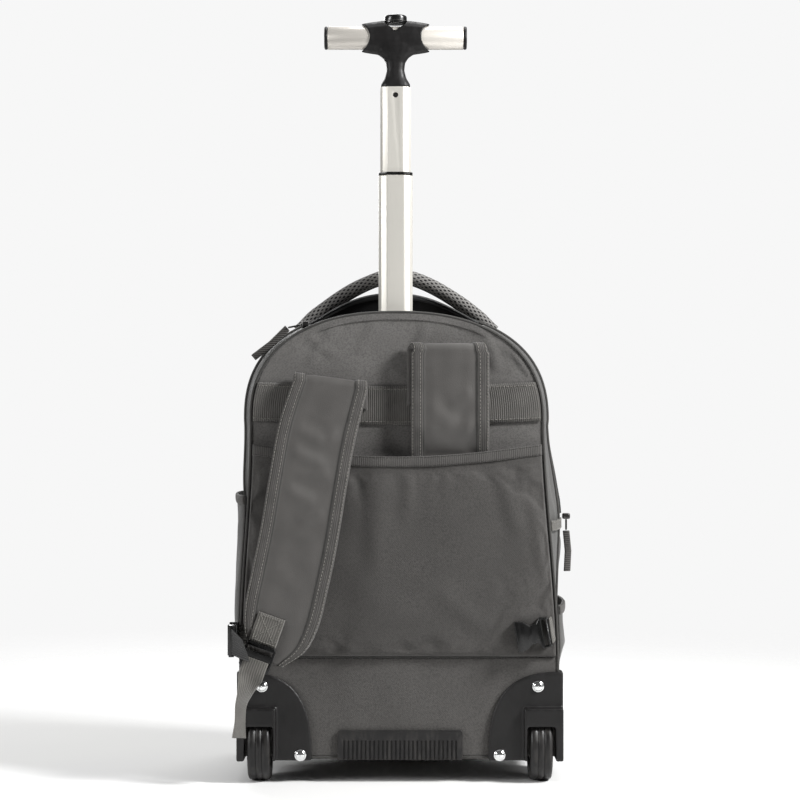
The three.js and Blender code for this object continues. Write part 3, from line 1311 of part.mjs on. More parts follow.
// Neck and crown of the hub: rise as a share of the neck's height, width and depth as shares of the tube's
const HUB_PROFILE = [
  { rise: 0.0, wide: 0.98, deep: 1.0 },
  { rise: 0.06, wide: 0.96, deep: 0.98 },
  { rise: 0.18, wide: 0.72, deep: 0.85 },
  { rise: 0.34, wide: 0.58, deep: 0.78 },
  { rise: 0.5, wide: 0.64, deep: 0.8 },
  { rise: 0.6, wide: 0.85, deep: 0.9 },
  { rise: 0.7, wide: 1.3, deep: 1.05 },
  { rise: 0.86, wide: 1.5, deep: 1.15 },
];
// The hub along the bar: distance from its middle, height and depth, each as a share of the hub's own
const HUB_BARREL = [
  { along: -1.0, swell: 0.76, deep: 0.93 },
  { along: -0.86, swell: 0.82, deep: 0.95 },
  { along: -0.6, swell: 0.9, deep: 0.97 },
  { along: -0.32, swell: 0.97, deep: 0.99 },
  { along: 0.0, swell: 1.0, deep: 1.0 },
  { along: 0.32, swell: 0.97, deep: 0.99 },
  { along: 0.6, swell: 0.9, deep: 0.97 },
  { along: 0.86, swell: 0.82, deep: 0.95 },
  { along: 1.0, swell: 0.76, deep: 0.93 },
];
function buildGrip() {
  const tubeHalf = INNER_WIDTH / 2;
  const tubeDeep = tubeHalf * TUBE_SLIMNESS;
  const neck = loft(
    HUB_PROFILE.map(({ rise, wide, deep }) =>
      gripSection(GRIP_BASE + rise * NECK_HEIGHT, wide * tubeHalf, Math.min(deep * tubeDeep, HUB_DEEP)),
    ),
  );
  const barrel = loft(
    HUB_BARREL.map(({ along, swell, deep }) =>
      Array.from({ length: GRIP_SIDES }, (_, i) => {
        const turn = (2 * Math.PI * (i + 0.5)) / GRIP_SIDES;
        return new THREE.Vector3(
          POLE_X + along * HUB_HALF,
          poleY + HUB_DEEP * deep * Math.cos(turn),
          barZ + HUB_SWELL * swell * Math.sin(turn),
        );
      }),
    ),
  );
  const plug = tube(-TUBE_WALL - FIT, null, GRIP_BASE - PLUG_LENGTH, GRIP_BASE + 2);
  const tip = HUB_SWELL * HUB_BARREL[0].swell;
  const biteRadius = (tip * tip + HUB_BITE * HUB_BITE) / (2 * HUB_BITE);
  let hub = toSolid(neck).add(toSolid(barrel)).add(toSolid(plug));
  for (const hand of [-1, 1]) {
    const bite = new THREE.CylinderGeometry(biteRadius, biteRadius, 4 * HUB_SWELL, 36);
    bite.translate(POLE_X + hand * (HUB_HALF + biteRadius - HUB_BITE), poleY, barZ);
    hub = hub.subtract(toSolid(bite));
  }
  const barBore = cylinderAcross(BAR_RADIUS + FIT, POLE_X - BAR_LENGTH, POLE_X + BAR_LENGTH, poleY, barZ, 28);
  const wellRadius = BUTTON_RADIUS + BUTTON_GAP;
  const well = new THREE.CylinderGeometry(wellRadius, wellRadius, 2 * HUB_SWELL, 24);
  well.rotateX(Math.PI / 2).translate(POLE_X, poleY, barZ + HUB_SWELL);
  const pinBore = new THREE.CylinderGeometry(PIN_RADIUS, PIN_RADIUS, tubeDeep, 14);
  pinBore.translate(POLE_X, poleY - tubeDeep, GRIP_BASE - PIN_DROP);
  hub = hub.subtract(toSolid(barBore)).subtract(toSolid(well)).subtract(toSolid(pinBore));
  addPiece("grip_hub", toGeometry(hub), "plastic");

  const end = BAR_LENGTH / 2;
  const bar = [
    [BAR_RADIUS - BAR_WALL, -end],
    [BAR_RADIUS, -end],
    [BAR_RADIUS, end],
    [BAR_RADIUS - BAR_WALL, end],
  ].map(([radius, x]) => new THREE.Vector2(radius, x));
  const barTube = new THREE.LatheGeometry([...bar, bar[0].clone()], 28);
  addPiece("grip_bar", barTube.rotateZ(Math.PI / 2).translate(POLE_X, poleY, barZ), "satin");
  const spigot = BAR_RADIUS - BAR_WALL - FIT;
  for (const { side, hand } of HANDS) {
    const profile = [
      [0, -CAP_PLUG],
      [spigot, -CAP_PLUG],
      [spigot, FIT],
      [BAR_RADIUS, FIT],
      [BAR_RADIUS, CAP_LENGTH - CAP_CHAMFER],
      [BAR_RADIUS - CAP_CHAMFER, CAP_LENGTH],
      [0, CAP_LENGTH],
    ].map(([radius, x]) => new THREE.Vector2(radius, x));
    const cap = new THREE.LatheGeometry(profile, 28);
    cap.rotateZ(-Math.PI / 2 * hand).translate(POLE_X + hand * end, poleY, barZ);
    addPiece("end_cap_" + side, cap, "plastic");
  }
  const buttonLow = barZ + BAR_RADIUS + FIT + BUTTON_TRAVEL;
  const buttonTop = barZ + HUB_SWELL + BUTTON_PROUD;
  const buttonProfile = [
    [0, buttonLow],
    [BUTTON_RADIUS, buttonLow],
    [BUTTON_RADIUS, buttonTop - BUTTON_CROWN],
    [BUTTON_RADIUS - BUTTON_CHAMFER, buttonTop - BUTTON_CROWN * 0.45],
    [BUTTON_RADIUS * 0.65, buttonTop - BUTTON_CROWN * 0.1],
    [0, buttonTop],
  ].map(([radius, z]) => new THREE.Vector2(radius, z));
  const button = new THREE.LatheGeometry(buttonProfile, 24);
  addPiece("release_button", button.rotateX(Math.PI / 2).translate(POLE_X, poleY, 0), "plastic");
  const pin = new THREE.CylinderGeometry(PIN_RADIUS - FIT, PIN_RADIUS - FIT, tubeDeep * 0.42, 14);
  pin.translate(POLE_X, poleY - tubeDeep * 0.74, GRIP_BASE - PIN_DROP);
  addPiece("grip_pin", pin, "zinc");
}

buildPanels();
buildTrolleyGusset();
buildShell();
buildBand();
buildPocket();
buildLips();
buildMainZip();
buildSidePockets();
buildHandle();
buildStraps();
buildAdjuster();
buildBuckles();
buildZipPulls();
buildHousings();
buildWheels();
buildGuardAndFoot();
buildPole();
buildGrip();

// The frame's origin lies on the floor, in the middle of the space that the whole object takes up
const extent = new THREE.Box3().setFromObject(parts);
const middle = extent.getCenter(new THREE.Vector3());
parts.position.set(-middle.x, -middle.y, -extent.min.z);

export default parts;
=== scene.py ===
"""Studio picture of a wheeled backpack: sewn body, straps, moulded wheel housings and telescopic pole."""

import logging
import math
from collections.abc import Callable, Mapping, Sequence
from dataclasses import dataclass, field
from enum import Enum
from typing import Any, ClassVar, Union

import bmesh
import bpy
import numpy as np
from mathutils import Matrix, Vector


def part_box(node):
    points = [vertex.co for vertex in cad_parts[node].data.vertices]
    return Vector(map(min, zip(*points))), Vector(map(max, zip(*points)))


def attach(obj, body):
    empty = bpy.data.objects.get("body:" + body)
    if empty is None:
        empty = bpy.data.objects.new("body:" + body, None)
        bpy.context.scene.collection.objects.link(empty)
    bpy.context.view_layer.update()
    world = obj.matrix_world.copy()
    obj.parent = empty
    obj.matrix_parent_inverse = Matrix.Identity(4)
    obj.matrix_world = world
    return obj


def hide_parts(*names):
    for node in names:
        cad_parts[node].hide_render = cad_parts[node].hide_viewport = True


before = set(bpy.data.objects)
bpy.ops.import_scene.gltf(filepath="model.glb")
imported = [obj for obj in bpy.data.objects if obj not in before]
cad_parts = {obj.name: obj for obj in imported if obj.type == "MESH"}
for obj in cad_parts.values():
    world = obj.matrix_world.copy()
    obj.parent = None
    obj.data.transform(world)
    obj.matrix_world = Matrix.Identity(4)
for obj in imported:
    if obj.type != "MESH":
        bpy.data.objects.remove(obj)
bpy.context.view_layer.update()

log = logging.getLogger("backpack")
Array = np.ndarray
Colour = tuple[float, float, float]
Piece = bpy.types.Object
REAR = np.array([0, -1.0, 0])
MM = 0.001


# Numbers and curves


def smooth(t: Any) -> Any:
    """An even step from 0 to 1."""
    s = np.clip(t, 0.0, 1.0)
    return s * s * (3.0 - 2.0 * s)


def lerp(a: Any, b: Any, t: Any) -> Any:
    """The value a share of the way from one to the other."""
    return a + (b - a) * t


def bump_at(value: Any, centre: float, width: float) -> Any:
    """A soft ridge of height 1 round a value."""
    return np.exp(-(((value - centre) / width) ** 2))


def through(knots: Sequence[float], values: Sequence[float], at: Any) -> Any:
    """Reads a smooth curve through a table's rows.

    Args:
        knots: Rising places of the rows.
        values: The value of each row.
        at: Where to read the curve.

    Returns:
        The curve's values there.
    """
    x = np.asarray(knots, float)
    y = np.asarray(values, float)
    slope = np.diff(y) / np.diff(x)
    tangent = np.concatenate([slope[:1], (slope[1:] + slope[:-1]) / 2, slope[-1:]])
    place = np.clip(np.asarray(at, float), x[0], x[-1])
    i = np.clip(np.searchsorted(x, place) - 1, 0, len(x) - 2)
    span = x[i + 1] - x[i]
    t = (place - x[i]) / span
    start = y[i] * (1 + 2 * t) * (1 - t) ** 2 + tangent[i] * span * t * (1 - t) ** 2
    return start + y[i + 1] * t * t * (3 - 2 * t) + tangent[i + 1] * span * t * t * (t - 1)


def unit(v: Array) -> Array:
    """Vectors made one long."""
    return v / np.maximum(np.linalg.norm(v, axis=-1, keepdims=True), 1e-9)


def drape(a: Array, b: Array, scale: float, seed: int) -> Array:
    """Slow, even unevenness of a cloth over two lengths.

    Args:
        a: First length, in millimetres.
        b: Second length, in millimetres.
        scale: Size of the waves, in millimetres.
        seed: Number that picks the waves.

    Returns:
        Heights from about -1 to 1.
    """
    pick = np.random.default_rng(seed)
    total = np.zeros(np.broadcast(a, b).shape)
    for turn, stretch, phase in pick.uniform((0, 0.6, 0), (math.pi, 1.8, 2 * math.pi), (9, 3)):
        k = 2 * math.pi / (scale * stretch)
        total += np.sin(k * (a * math.cos(turn) + b * math.sin(turn)) + phase)
    return total / 4.5


@dataclass(frozen=True)
class Crease:
    """A soft fold in a cloth, from one place to another."""

    start: tuple[float, float]
    end: tuple[float, float]
    width: float
    depth: float

    def height(self, x: Array, z: Array) -> Array:
        """Its height over the cloth.

        Args:
            x: Places across, in millimetres.
            z: Places up, in millimetres.

        Returns:
            Height in millimetres, positive where the cloth stands out.
        """
        (x0, z0), (x1, z1) = self.start, self.end
        length = math.hypot(x1 - x0, z1 - z0)
        ux, uz = (x1 - x0) / length, (z1 - z0) / length
        along = ((x - x0) * ux + (z - z0) * uz) / length
        aside = (x - x0) * uz - (z - z0) * ux
        taper = smooth(along / 0.3) * smooth((1 - along) / 0.3)
        aside = aside / self.width
        return self.depth * taper * (np.exp(-(aside**2)) - 0.5 * np.exp(-((aside - 1.7) ** 2)))


def folds(creases: Sequence[Crease], x: Array, z: Array) -> Array:
    """The heights of several folds together."""
    return sum((c.height(x, z) for c in creases), np.zeros(np.broadcast(x, z).shape))


# The bag's own axes and form


@dataclass(frozen=True)
class BagAxes:
    """Turns the bag's own millimetres into the frame's metres."""

    x: float
    y: float

    @classmethod
    def from_frame(cls) -> "BagAxes":
        """Reads the bag's place from its panels."""
        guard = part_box("bottom_guard")
        return cls((guard[0].x + guard[1].x) / 2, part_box("base_back_panel")[0].y)

    def metres(self, points: Array) -> Array:
        """Points in the frame, in metres."""
        return points * MM + np.array([self.x, self.y, 0.0])

    def point(self, x: float, y: float, z: float) -> Vector:
        """One such point."""
        return Vector(self.metres(np.array([x, y, z], float)))


class Hand(Enum):
    """The bag's two sides, as seen from the straps."""

    LEFT = -1
    RIGHT = 1

    @property
    def label(self) -> str:
        """The side's name in piece names."""
        return self.name.lower()


@dataclass(frozen=True)
class BagForm:
    """The bag's sewn form: X across, Y from the strap side in, Z up, in millimetres."""

    base: float = 26.0
    height: float = 444.0
    arch_rise: float = 107.0
    arch_power: float = 2.35
    shoulder_width: float = 290.0
    base_width: float = 316.0
    flare_span: float = 0.72
    lean: float = 4.0
    corner: float = 14.0
    seam_rise: float = 100.0
    base_depth: float = 196.0
    top_depth: float = 138.0
    bulge: float = 12.0
    top_swell: float = 0.4
    crown: float = 11.0
    well_inner: float = 123.6
    well_front: float = 63.8
    well_top: float = 76.8
    heights: ClassVar[tuple[float, ...]] = (0.0, 0.21, 0.31, 0.42, 0.54, 0.62, 0.72, 1.0)
    swell_left: ClassVar[tuple[float, ...]] = (0.1, 0.2, 0.3, 0.35, 0.5, 0.85, 0.85, 0.85)
    swell_right: ClassVar[tuple[float, ...]] = (0.1, 0.3, 0.3, 0.8, 1.4, 1.2, 0.74, 0.74)
    depths: ClassVar[tuple[float, ...]] = (0.0, 0.1, 0.25, 0.45, 0.75, 0.92, 1.0)
    swell_depth: ClassVar[tuple[float, ...]] = (0.0, 0.45, 0.75, 1.0, 0.9, 0.35, -0.9)

    @property
    def top(self) -> float:
        """Height of the back's top edge."""
        return self.base + self.height

    @property
    def shoulder(self) -> float:
        """Height where the arched top begins."""
        return self.top - self.arch_rise

    @property
    def seam(self) -> float:
        """Height of the seam between back and base."""
        return self.base + self.seam_rise

    def centre_x(self, z: Any) -> Any:
        """Middle of the bag at a height."""
        return -self.lean * (z - self.base) / self.height

    def depth(self, z: Any) -> Any:
        """Strap side to front face at a height."""
        return lerp(self.base_depth, self.top_depth, smooth((z - self.base) / self.height))

    def half_width(self, z: Any, grow: Any = 0.0) -> Any:
        """Half the width at a height, swollen by an amount."""
        share = np.clip((z - self.shoulder) / (self.arch_rise + grow), 0, 1)
        arch = (1 - share**self.arch_power) ** (1 / self.arch_power)
        down = np.clip((self.shoulder - z) / (self.shoulder - self.base), 0, None)
        flare = (self.base_width - self.shoulder_width) / 2 * smooth(down / self.flare_span)
        low = self.shoulder_width / 2 + flare + grow
        return np.where(z >= self.shoulder, (self.shoulder_width / 2 + grow) * arch, low)

    def swell_at(self, y: Any, z: Any) -> Any:
        """Share of the side's swell at a depth."""
        return through(self.depths, self.swell_depth, y / self.depth(z))

    def side_x(self, y: Any, z: Any, hand: int) -> Any:
        """The side surface at a depth and height."""
        table = self.swell_left if hand < 0 else self.swell_right
        share = (z - self.base) / self.height
        swell = self.bulge * through(self.heights, table, share) * self.swell_at(y, z)
        return self.centre_x(z) + hand * self.half_width(z, swell)

    def arch(self, y_of: Callable[[Any], Any], turn: Array, inset: float = 0.0) -> Array:
        """Points of the arched top.

        Args:
            y_of: Depth at a height.
            turn: Angles from the right side over the top, in radians.
            inset: How far the arch is pulled in.

        Returns:
            One point for each angle.
        """
        cos, sin = np.cos(turn), np.sin(turn)
        at_side = np.where(cos < 0, self.swell_left[-1], self.swell_right[-1])
        share = lerp(at_side, self.top_swell, smooth(sin * sin))
        grow = self.bulge * share * self.swell_at(y_of(self.top), self.top) - inset
        x = (self.shoulder_width / 2 + grow) * np.sign(cos) * np.abs(cos) ** (2 / self.arch_power)
        z = self.shoulder + (self.arch_rise + grow) * np.clip(sin, 0, 1) ** (2 / self.arch_power)
        return np.stack([self.centre_x(z) + x, y_of(z) + 0 * z, z], -1)

    def ring(self, start: float, share: float, inset: float = 0.0) -> Array:
        """The whole outline at a share of the depth, from the lower right corner round to it.

        Args:
            start: Depth where the share is 0.
            share: Share of the way to the front face.
            inset: How far the outline is pulled in.

        Returns:
            Points in order, closed by the bottom edge.
        """

        def y_of(z: Any) -> Any:
            return start + share * (self.depth(z) - inset - start)

        foot = self.base + inset + self.corner

        def side(z: Array, hand: int) -> Array:
            y = y_of(z)
            return np.stack([self.side_x(y, z, hand) - hand * inset, y + 0 * z, z], -1)

        def corner(hand: int) -> Array:
            turn = np.linspace(0, math.pi / 2, 7)[:-1]
            x = self.side_x(y_of(foot), foot, hand) - hand * (inset + self.corner)
            z = foot - self.corner * np.cos(turn)
            return np.stack([x + hand * self.corner * np.sin(turn), y_of(z), z], -1)

        up = np.linspace(foot, self.shoulder, 50, endpoint=False)
        right, left = corner(1), corner(-1)[::-1]
        arch = self.arch(y_of, np.linspace(0, math.pi, 101), inset)
        bottom = lerp(left[-1], right[0], np.linspace(0, 1, 42)[1:-1, None])
        return np.concatenate([right, side(up, 1), arch, side(up, -1)[::-1], left, bottom])

    def rows(self, low: float, high: float, margin: float, count: int, columns: int) -> tuple[Array, Array]:
        """Places over the flat back, in rows that follow the arch.

        Args:
            low: Height of the lowest row.
            high: Height of the highest row.
            margin: How far the rows stop short of the outline.
            count: Number of rows.
            columns: Number of places in a row.

        Returns:
            Arrays of places across and up.
        """
        if high > self.shoulder:
            straight = np.linspace(low, self.shoulder, count // 2, endpoint=False)
            share = (high - self.shoulder) / self.arch_rise
            turn = np.linspace(0, math.asin(min(1, share ** (self.arch_power / 2))), count - count // 2)
            curved = self.shoulder + self.arch_rise * np.sin(turn) ** (2 / self.arch_power)
            z = np.concatenate([straight, curved])
        else:
            z = np.linspace(low, high, count)
        z = z[:, None]
        u = np.sin(np.linspace(-math.pi / 2, math.pi / 2, columns))[None, :]
        u = lerp(np.linspace(-1, 1, columns)[None, :], u, 0.55)
        half = np.maximum(self.half_width(z) - margin, 0.0)
        return self.centre_x(z) + half * u, z + 0 * u


FORM = BagForm()
AXES = BagAxes.from_frame()


# Meshes


def make_object(
    name: str, points: Array, faces: Sequence[Sequence[int]], uvs: Array | None = None
) -> Piece:
    """A mesh object in the frame from points in the bag's millimetres.

    Args:
        name: The piece's name.
        points: The corners.
        faces: The corners of each face.
        uvs: Place of each face corner on the flat cloth, in metres.

    Returns:
        The linked object.
    """
    mesh = bpy.data.meshes.new(name)
    mesh.from_pydata(AXES.metres(points.reshape(-1, 3)).tolist(), [], [list(f) for f in faces])
    if uvs is not None:
        layer = mesh.uv_layers.new(name="cut")
        layer.data.foreach_set("uv", uvs.astype(np.float32).ravel())
    mesh.polygons.foreach_set("use_smooth", [True] * len(mesh.polygons))
    made = bpy.data.objects.new(name, mesh)
    bpy.context.scene.collection.objects.link(made)
    return made


def grid(
    name: str,
    points: Array,
    ring: bool = False,
    loop: bool = False,
    caps: bool = False,
    keep: Array | None = None,
) -> Piece:
    """A surface through a grid of points, with its flat size kept as texture places.

    Args:
        name: The piece's name.
        points: Rows by columns by 3, in the bag's millimetres.
        ring: Whether each row closes on itself.
        loop: Whether the last row joins the first.
        caps: Whether the end rows are closed by a face.
        keep: For each point, whether faces on it are kept.

    Returns:
        The linked object.
    """
    rows, columns = points.shape[:2]
    closed = np.concatenate([points, points[:, :1]], 1) if ring else points
    steps = np.linalg.norm(np.diff(closed, axis=1), axis=-1).max(0)
    across = np.concatenate([[0], np.cumsum(steps)]) * MM
    long = np.concatenate([points, points[:1]], 0) if loop else points
    rises = np.linalg.norm(np.diff(long, axis=0), axis=-1).mean(1)
    along = np.concatenate([[0], np.cumsum(rises)]) * MM
    r = np.arange(rows if loop else rows - 1)
    c = np.arange(columns if ring else columns - 1)
    r, c = (a.ravel() for a in np.meshgrid(r, c, indexing="ij"))
    r1, c1 = (r + 1) % rows, (c + 1) % columns
    faces = np.stack([r * columns + c, r * columns + c1, r1 * columns + c1, r1 * columns + c], -1)
    u = np.stack([across[c], across[c + 1], across[c + 1], across[c]], -1)
    v = np.stack([along[r], along[r], along[r + 1], along[r + 1]], -1)
    if keep is not None:
        good = keep.ravel()[faces].all(1)
        faces, u, v = faces[good], u[good], v[good]
    uvs = np.stack([u, v], -1).reshape(-1, 2)
    listed = faces.tolist()
    if caps:
        listed += [list(range(columns))[::-1], list(range((rows - 1) * columns, rows * columns))]
        uvs = np.concatenate([uvs, np.zeros((2 * columns, 2))])
    made = make_object(name, points, listed, uvs)
    if caps or ring:
        outward(made)
    return made


def outward(piece: Piece) -> None:
    """Turns a closed piece's faces out."""
    made = bmesh.new()
    made.from_mesh(piece.data)
    bmesh.ops.recalc_face_normals(made, faces=made.faces)
    made.to_mesh(piece.data)
    made.free()


def close(piece: Piece, first: int, count: int) -> None:
    """Closes a hole, whose rim is a run of a piece's corners, with one face."""
    made = bmesh.new()
    made.from_mesh(piece.data)
    made.verts.ensure_lookup_table()
    made.faces.new([made.verts[i] for i in range(first, first + count)]).smooth = True
    made.to_mesh(piece.data)
    made.free()
    outward(piece)


def frames(path: Array, hint: Array) -> tuple[Array, Array, Array]:
    """Directions along, across and out for each point of a path.

    Args:
        path: The points.
        hint: A direction, or one for each point, that out stays close to.

    Returns:
        Unit vectors along, across and out.
    """
    along = unit(np.gradient(path, axis=0))
    hints = np.broadcast_to(hint, path.shape)
    across = unit(np.cross(along, hints))
    return along, across, unit(np.cross(across, along))


def tube(name: str, path: Array, radius: Any, sides: int = 10, closed: bool = False) -> Piece:
    """A round tube along a path.

    Args:
        name: The piece's name.
        path: Its middle line.
        radius: Its radius, or one for each point.
        sides: Number of sides.
        closed: Whether the path closes on itself.

    Returns:
        The linked object.
    """
    _, across, out = frames(path, np.array([0.03, -1.0, 0.02]))
    turn = np.linspace(0, 2 * math.pi, sides, endpoint=False)[None, :, None]
    size = np.broadcast_to(radius, len(path))[:, None, None]
    points = path[:, None] + size * (np.cos(turn) * across[:, None] + np.sin(turn) * out[:, None])
    return grid(name, points, ring=True, loop=closed, caps=not closed)


def even(path: Array, step: float) -> Array:
    """A path with its points at even distances.

    Args:
        path: The points.
        step: Distance between the new points.

    Returns:
        The new points.
    """
    lengths = np.concatenate([[0], np.cumsum(np.linalg.norm(np.diff(path, axis=0), axis=1))])
    count = max(3, int(lengths[-1] / step) + 1)
    at = np.linspace(0, lengths[-1], count)
    return np.stack([np.interp(at, lengths, path[:, i]) for i in range(3)], -1)


def lathe(name: str, profile: Array, centre: Sequence[float], axis: int, sides: int = 96) -> Piece:
    """A turned piece.

    Args:
        name: The piece's name.
        profile: Rows of radius and place along the axis, closed on itself.
        centre: The axis's middle.
        axis: 0, 1 or 2 for a piece turned about X, Y or Z.
        sides: Number of sides.

    Returns:
        The linked object.
    """
    turn = np.linspace(0, 2 * math.pi, sides, endpoint=False)[None, :]
    radius, place = profile[:, :1], profile[:, 1:] + 0 * turn
    first, second = radius * np.cos(turn), radius * np.sin(turn)
    order = {0: (place, first, second), 1: (first, place, second), 2: (first, second, place)}[axis]
    return grid(name, np.stack(order, -1) + np.array(centre), ring=True, loop=True)


def thicken(piece: Piece, thickness: float, offset: float = 0.0) -> None:
    """Gives a sheet its thickness, in millimetres."""
    solid = piece.modifiers.new("thickness", "SOLIDIFY")
    solid.thickness = thickness * MM
    solid.offset = offset


def facing(piece: Piece, direction: Sequence[float]) -> None:
    """Flips a sheet's faces if they look away from a direction."""
    total = Vector((0, 0, 0))
    for polygon in piece.data.polygons:
        total += polygon.normal * polygon.area
    if total.dot(Vector(direction)) < 0:
        piece.data.flip_normals()


def puff(piece: Piece, held: Array, pressure: float, growth: float, cap: float, frames_run: int = 16) -> None:
    """Lets a piece of cloth fill out between its seams.

    Args:
        piece: The cloth.
        held: For each point, how firmly it is sewn, from 0 to 1.
        pressure: Push of what is inside.
        growth: Share by which the cloth is cut larger than its place.
        cap: How far a point may move, in millimetres.
        frames_run: Steps of the simulation.
    """
    rest = np.array([v.co for v in piece.data.vertices])
    group = piece.vertex_groups.new(name="sewn")
    for index in np.nonzero(held > 0.01)[0]:
        group.add([int(index)], float(held[index]), "REPLACE")
    cloth = piece.modifiers.new("cloth", "CLOTH")
    cloth.settings.quality = 4
    cloth.settings.vertex_group_mass = "sewn"
    cloth.settings.use_pressure = True
    cloth.settings.uniform_pressure_force = pressure
    cloth.settings.shrink_min = -growth
    cloth.settings.effector_weights.gravity = 0
    cloth.point_cache.frame_start = 1
    cloth.point_cache.frame_end = frames_run
    scene = bpy.context.scene
    for step in range(1, frames_run + 1):
        scene.frame_set(step)
    shaped = piece.evaluated_get(bpy.context.evaluated_depsgraph_get()).to_mesh()
    moved = np.array([v.co for v in shaped.vertices])
    piece.modifiers.remove(cloth)
    scene.frame_set(1)
    shift = moved - rest
    length = np.linalg.norm(shift, axis=1, keepdims=True)
    limit = cap * MM
    shift *= np.tanh(length / limit) * limit / np.maximum(length, 1e-9)
    shift[~np.isfinite(shift).all(1)] = 0
    piece.data.vertices.foreach_set("co", (rest + shift).astype(np.float32).ravel())
    piece.data.update()


# Shader maths

Value = Union["Tone", float, Sequence[float]]


class Tone:
    """A shader socket that takes part in Python arithmetic."""

    def __init__(self, recipe: "Recipe", socket: bpy.types.NodeSocket) -> None:
        """Keeps the socket and the recipe that it belongs to."""
        self.recipe = recipe
        self.socket = socket

    def maths(self, operation: str, *values: Value) -> "Tone":
        """Adds a Math node on this socket and other values."""
        return self.recipe.add("ShaderNodeMath", {"operation": operation}, dict(enumerate(values)))

    def __add__(self, other: Value) -> "Tone":
        """Sum."""
        return self.maths("ADD", self, other)

    __radd__ = __add__

    def __sub__(self, other: Value) -> "Tone":
        """Difference."""
        return self.maths("SUBTRACT", self, other)

    def __rsub__(self, other: Value) -> "Tone":
        """Difference the other way round."""
        return self.maths("SUBTRACT", other, self)

    def __mul__(self, other: Value) -> "Tone":
        """Product."""
        return self.maths("MULTIPLY", self, other)

    __rmul__ = __mul__

    def __truediv__(self, other: Value) -> "Tone":
        """Quotient."""
        return self.maths("DIVIDE", self, other)

    def __abs__(self) -> "Tone":
        """Size without its sign."""
        return self.maths("ABSOLUTE", self)

    def sine(self, period: float) -> "Tone":
        """A wave of this period along the value."""
        return (self * (2 * math.pi / period)).maths_on("SINE")

    def maths_on(self, operation: str) -> "Tone":
        """A Math node with this socket alone."""
        return self.maths(operation, self)

    def step(self, low: float, high: float) -> "Tone":
        """An even step from 0 at low to 1 at high."""
        settings = {"interpolation_type": "SMOOTHSTEP", "clamp": True}
        sockets = {0: self, 1: low, 2: high, 3: 0.0, 4: 1.0}
        return self.recipe.add("ShaderNodeMapRange", settings, sockets)


class Recipe:
    """A material under construction."""

    def __init__(self, name: str) -> None:
        """Starts a material with one plain surface shader."""
        self.material = bpy.data.materials.new(name)
        self.material.use_nodes = True
        self.tree = self.material.node_tree
        self.shader = self.tree.nodes["Principled BSDF"]

    def add(
        self,
        kind: str,
        settings: Mapping[str, Any] | None = None,
        sockets: Mapping[int | str, Value] | None = None,
        output: int | str = 0,
    ) -> Tone:
        """Adds a node.

        Args:
            kind: The node's type.
            settings: Its options, set first. "stops" holds a ramp's places and colours.
            sockets: Values or links of its inputs.
            output: The output that is wanted.

        Returns:
            That output.
        """
        node = self.tree.nodes.new(kind)
        for key, value in (settings or {}).items():
            if key == "stops":
                ramp = node.color_ramp.elements
                while len(ramp) < len(value):
                    ramp.new(0.5)
                for element, (place, colour) in zip(ramp, value):
                    element.position = place
                    element.color = (*colour, 1.0)
            else:
                setattr(node, key, value)
        for key, value in (sockets or {}).items():
            self.plug(node.inputs[key], value)
        return Tone(self, node.outputs[output])

    def plug(self, socket: bpy.types.NodeSocket, value: Value) -> None:
        """Gives an input its value or link."""
        if isinstance(value, Tone):
            self.tree.links.new(value.socket, socket)
        else:
            socket.default_value = value

    def mix(self, factor: Value, first: Value, second: Value) -> Tone:
        """Mixes two colours."""
        colours = [(*c, 1.0) if isinstance(c, tuple) and len(c) == 3 else c for c in (first, second)]
        sockets = {0: factor, 6: colours[0], 7: colours[1]}
        return self.add("ShaderNodeMix", {"data_type": "RGBA"}, sockets, 2)

    def noise(self, scale: float, detail: float = 3.0, stretch: Colour = (1, 1, 1)) -> Tone:
        """Cloudy unevenness in the frame's space.

        Args:
            scale: Size of the clouds, in millimetres.
            detail: Number of finer layers.
            stretch: Factors on the three axes.

        Returns:
            Values round 0.5.
        """
        place = self.add("ShaderNodeTexCoord", output="Object")
        if stretch != (1, 1, 1):
            place = self.add("ShaderNodeVectorMath", {"operation": "MULTIPLY"}, {0: place, 1: stretch})
        sockets = {"Vector": place, "Scale": 1000.0 / scale, "Detail": detail, "Roughness": 0.55}
        return self.add("ShaderNodeTexNoise", None, sockets)

    def flat_place(self) -> tuple[Tone, Tone]:
        """Millimetres across and along the cut cloth."""
        place = self.add("ShaderNodeTexCoord", output="UV")
        parts = [self.add("ShaderNodeSeparateXYZ", None, {0: place}, i) * 1000.0 for i in (0, 1)]
        return parts[0], parts[1]

    def room_place(self) -> tuple[Tone, Tone, Tone]:
        """Millimetres in the frame's space."""
        place = self.add("ShaderNodeTexCoord", output="Object")
        parts = [self.add("ShaderNodeSeparateXYZ", None, {0: place}, i) * 1000.0 for i in (0, 1, 2)]
        return parts[0], parts[1], parts[2]

    def bump(self, height: Tone, depth: float, strength: float = 1.0, under: Tone | None = None) -> Tone:
        """A bumpy surface from heights from 0 to 1, this many millimetres deep."""
        sockets: dict[int | str, Value] = {"Height": height, "Distance": depth * MM}
        sockets["Strength"] = strength
        if under is not None:
            sockets["Normal"] = under
        return self.add("ShaderNodeBump", None, sockets)

    def surface(self, **sockets: Value) -> None:
        """Sets the surface shader's inputs, with underscores for spaces."""
        for key, value in sockets.items():
            colour = isinstance(value, tuple) and len(value) == 3
            self.plug(self.shader.inputs[key.replace("_", " ")], (*value, 1.0) if colour else value)


def hue(code: str) -> Colour:
    """The linear colour of a six-digit code."""
    parts = [int(code[i : i + 2], 16) / 255 for i in (0, 2, 4)]
    return tuple(p / 12.92 if p <= 0.04045 else ((p + 0.055) / 1.055) ** 2.4 for p in parts)


def shade(colour: Colour, factor: float) -> Colour:
    """A lighter or darker colour of the same hue."""
    return tuple(min(1.0, c * factor) for c in colour)


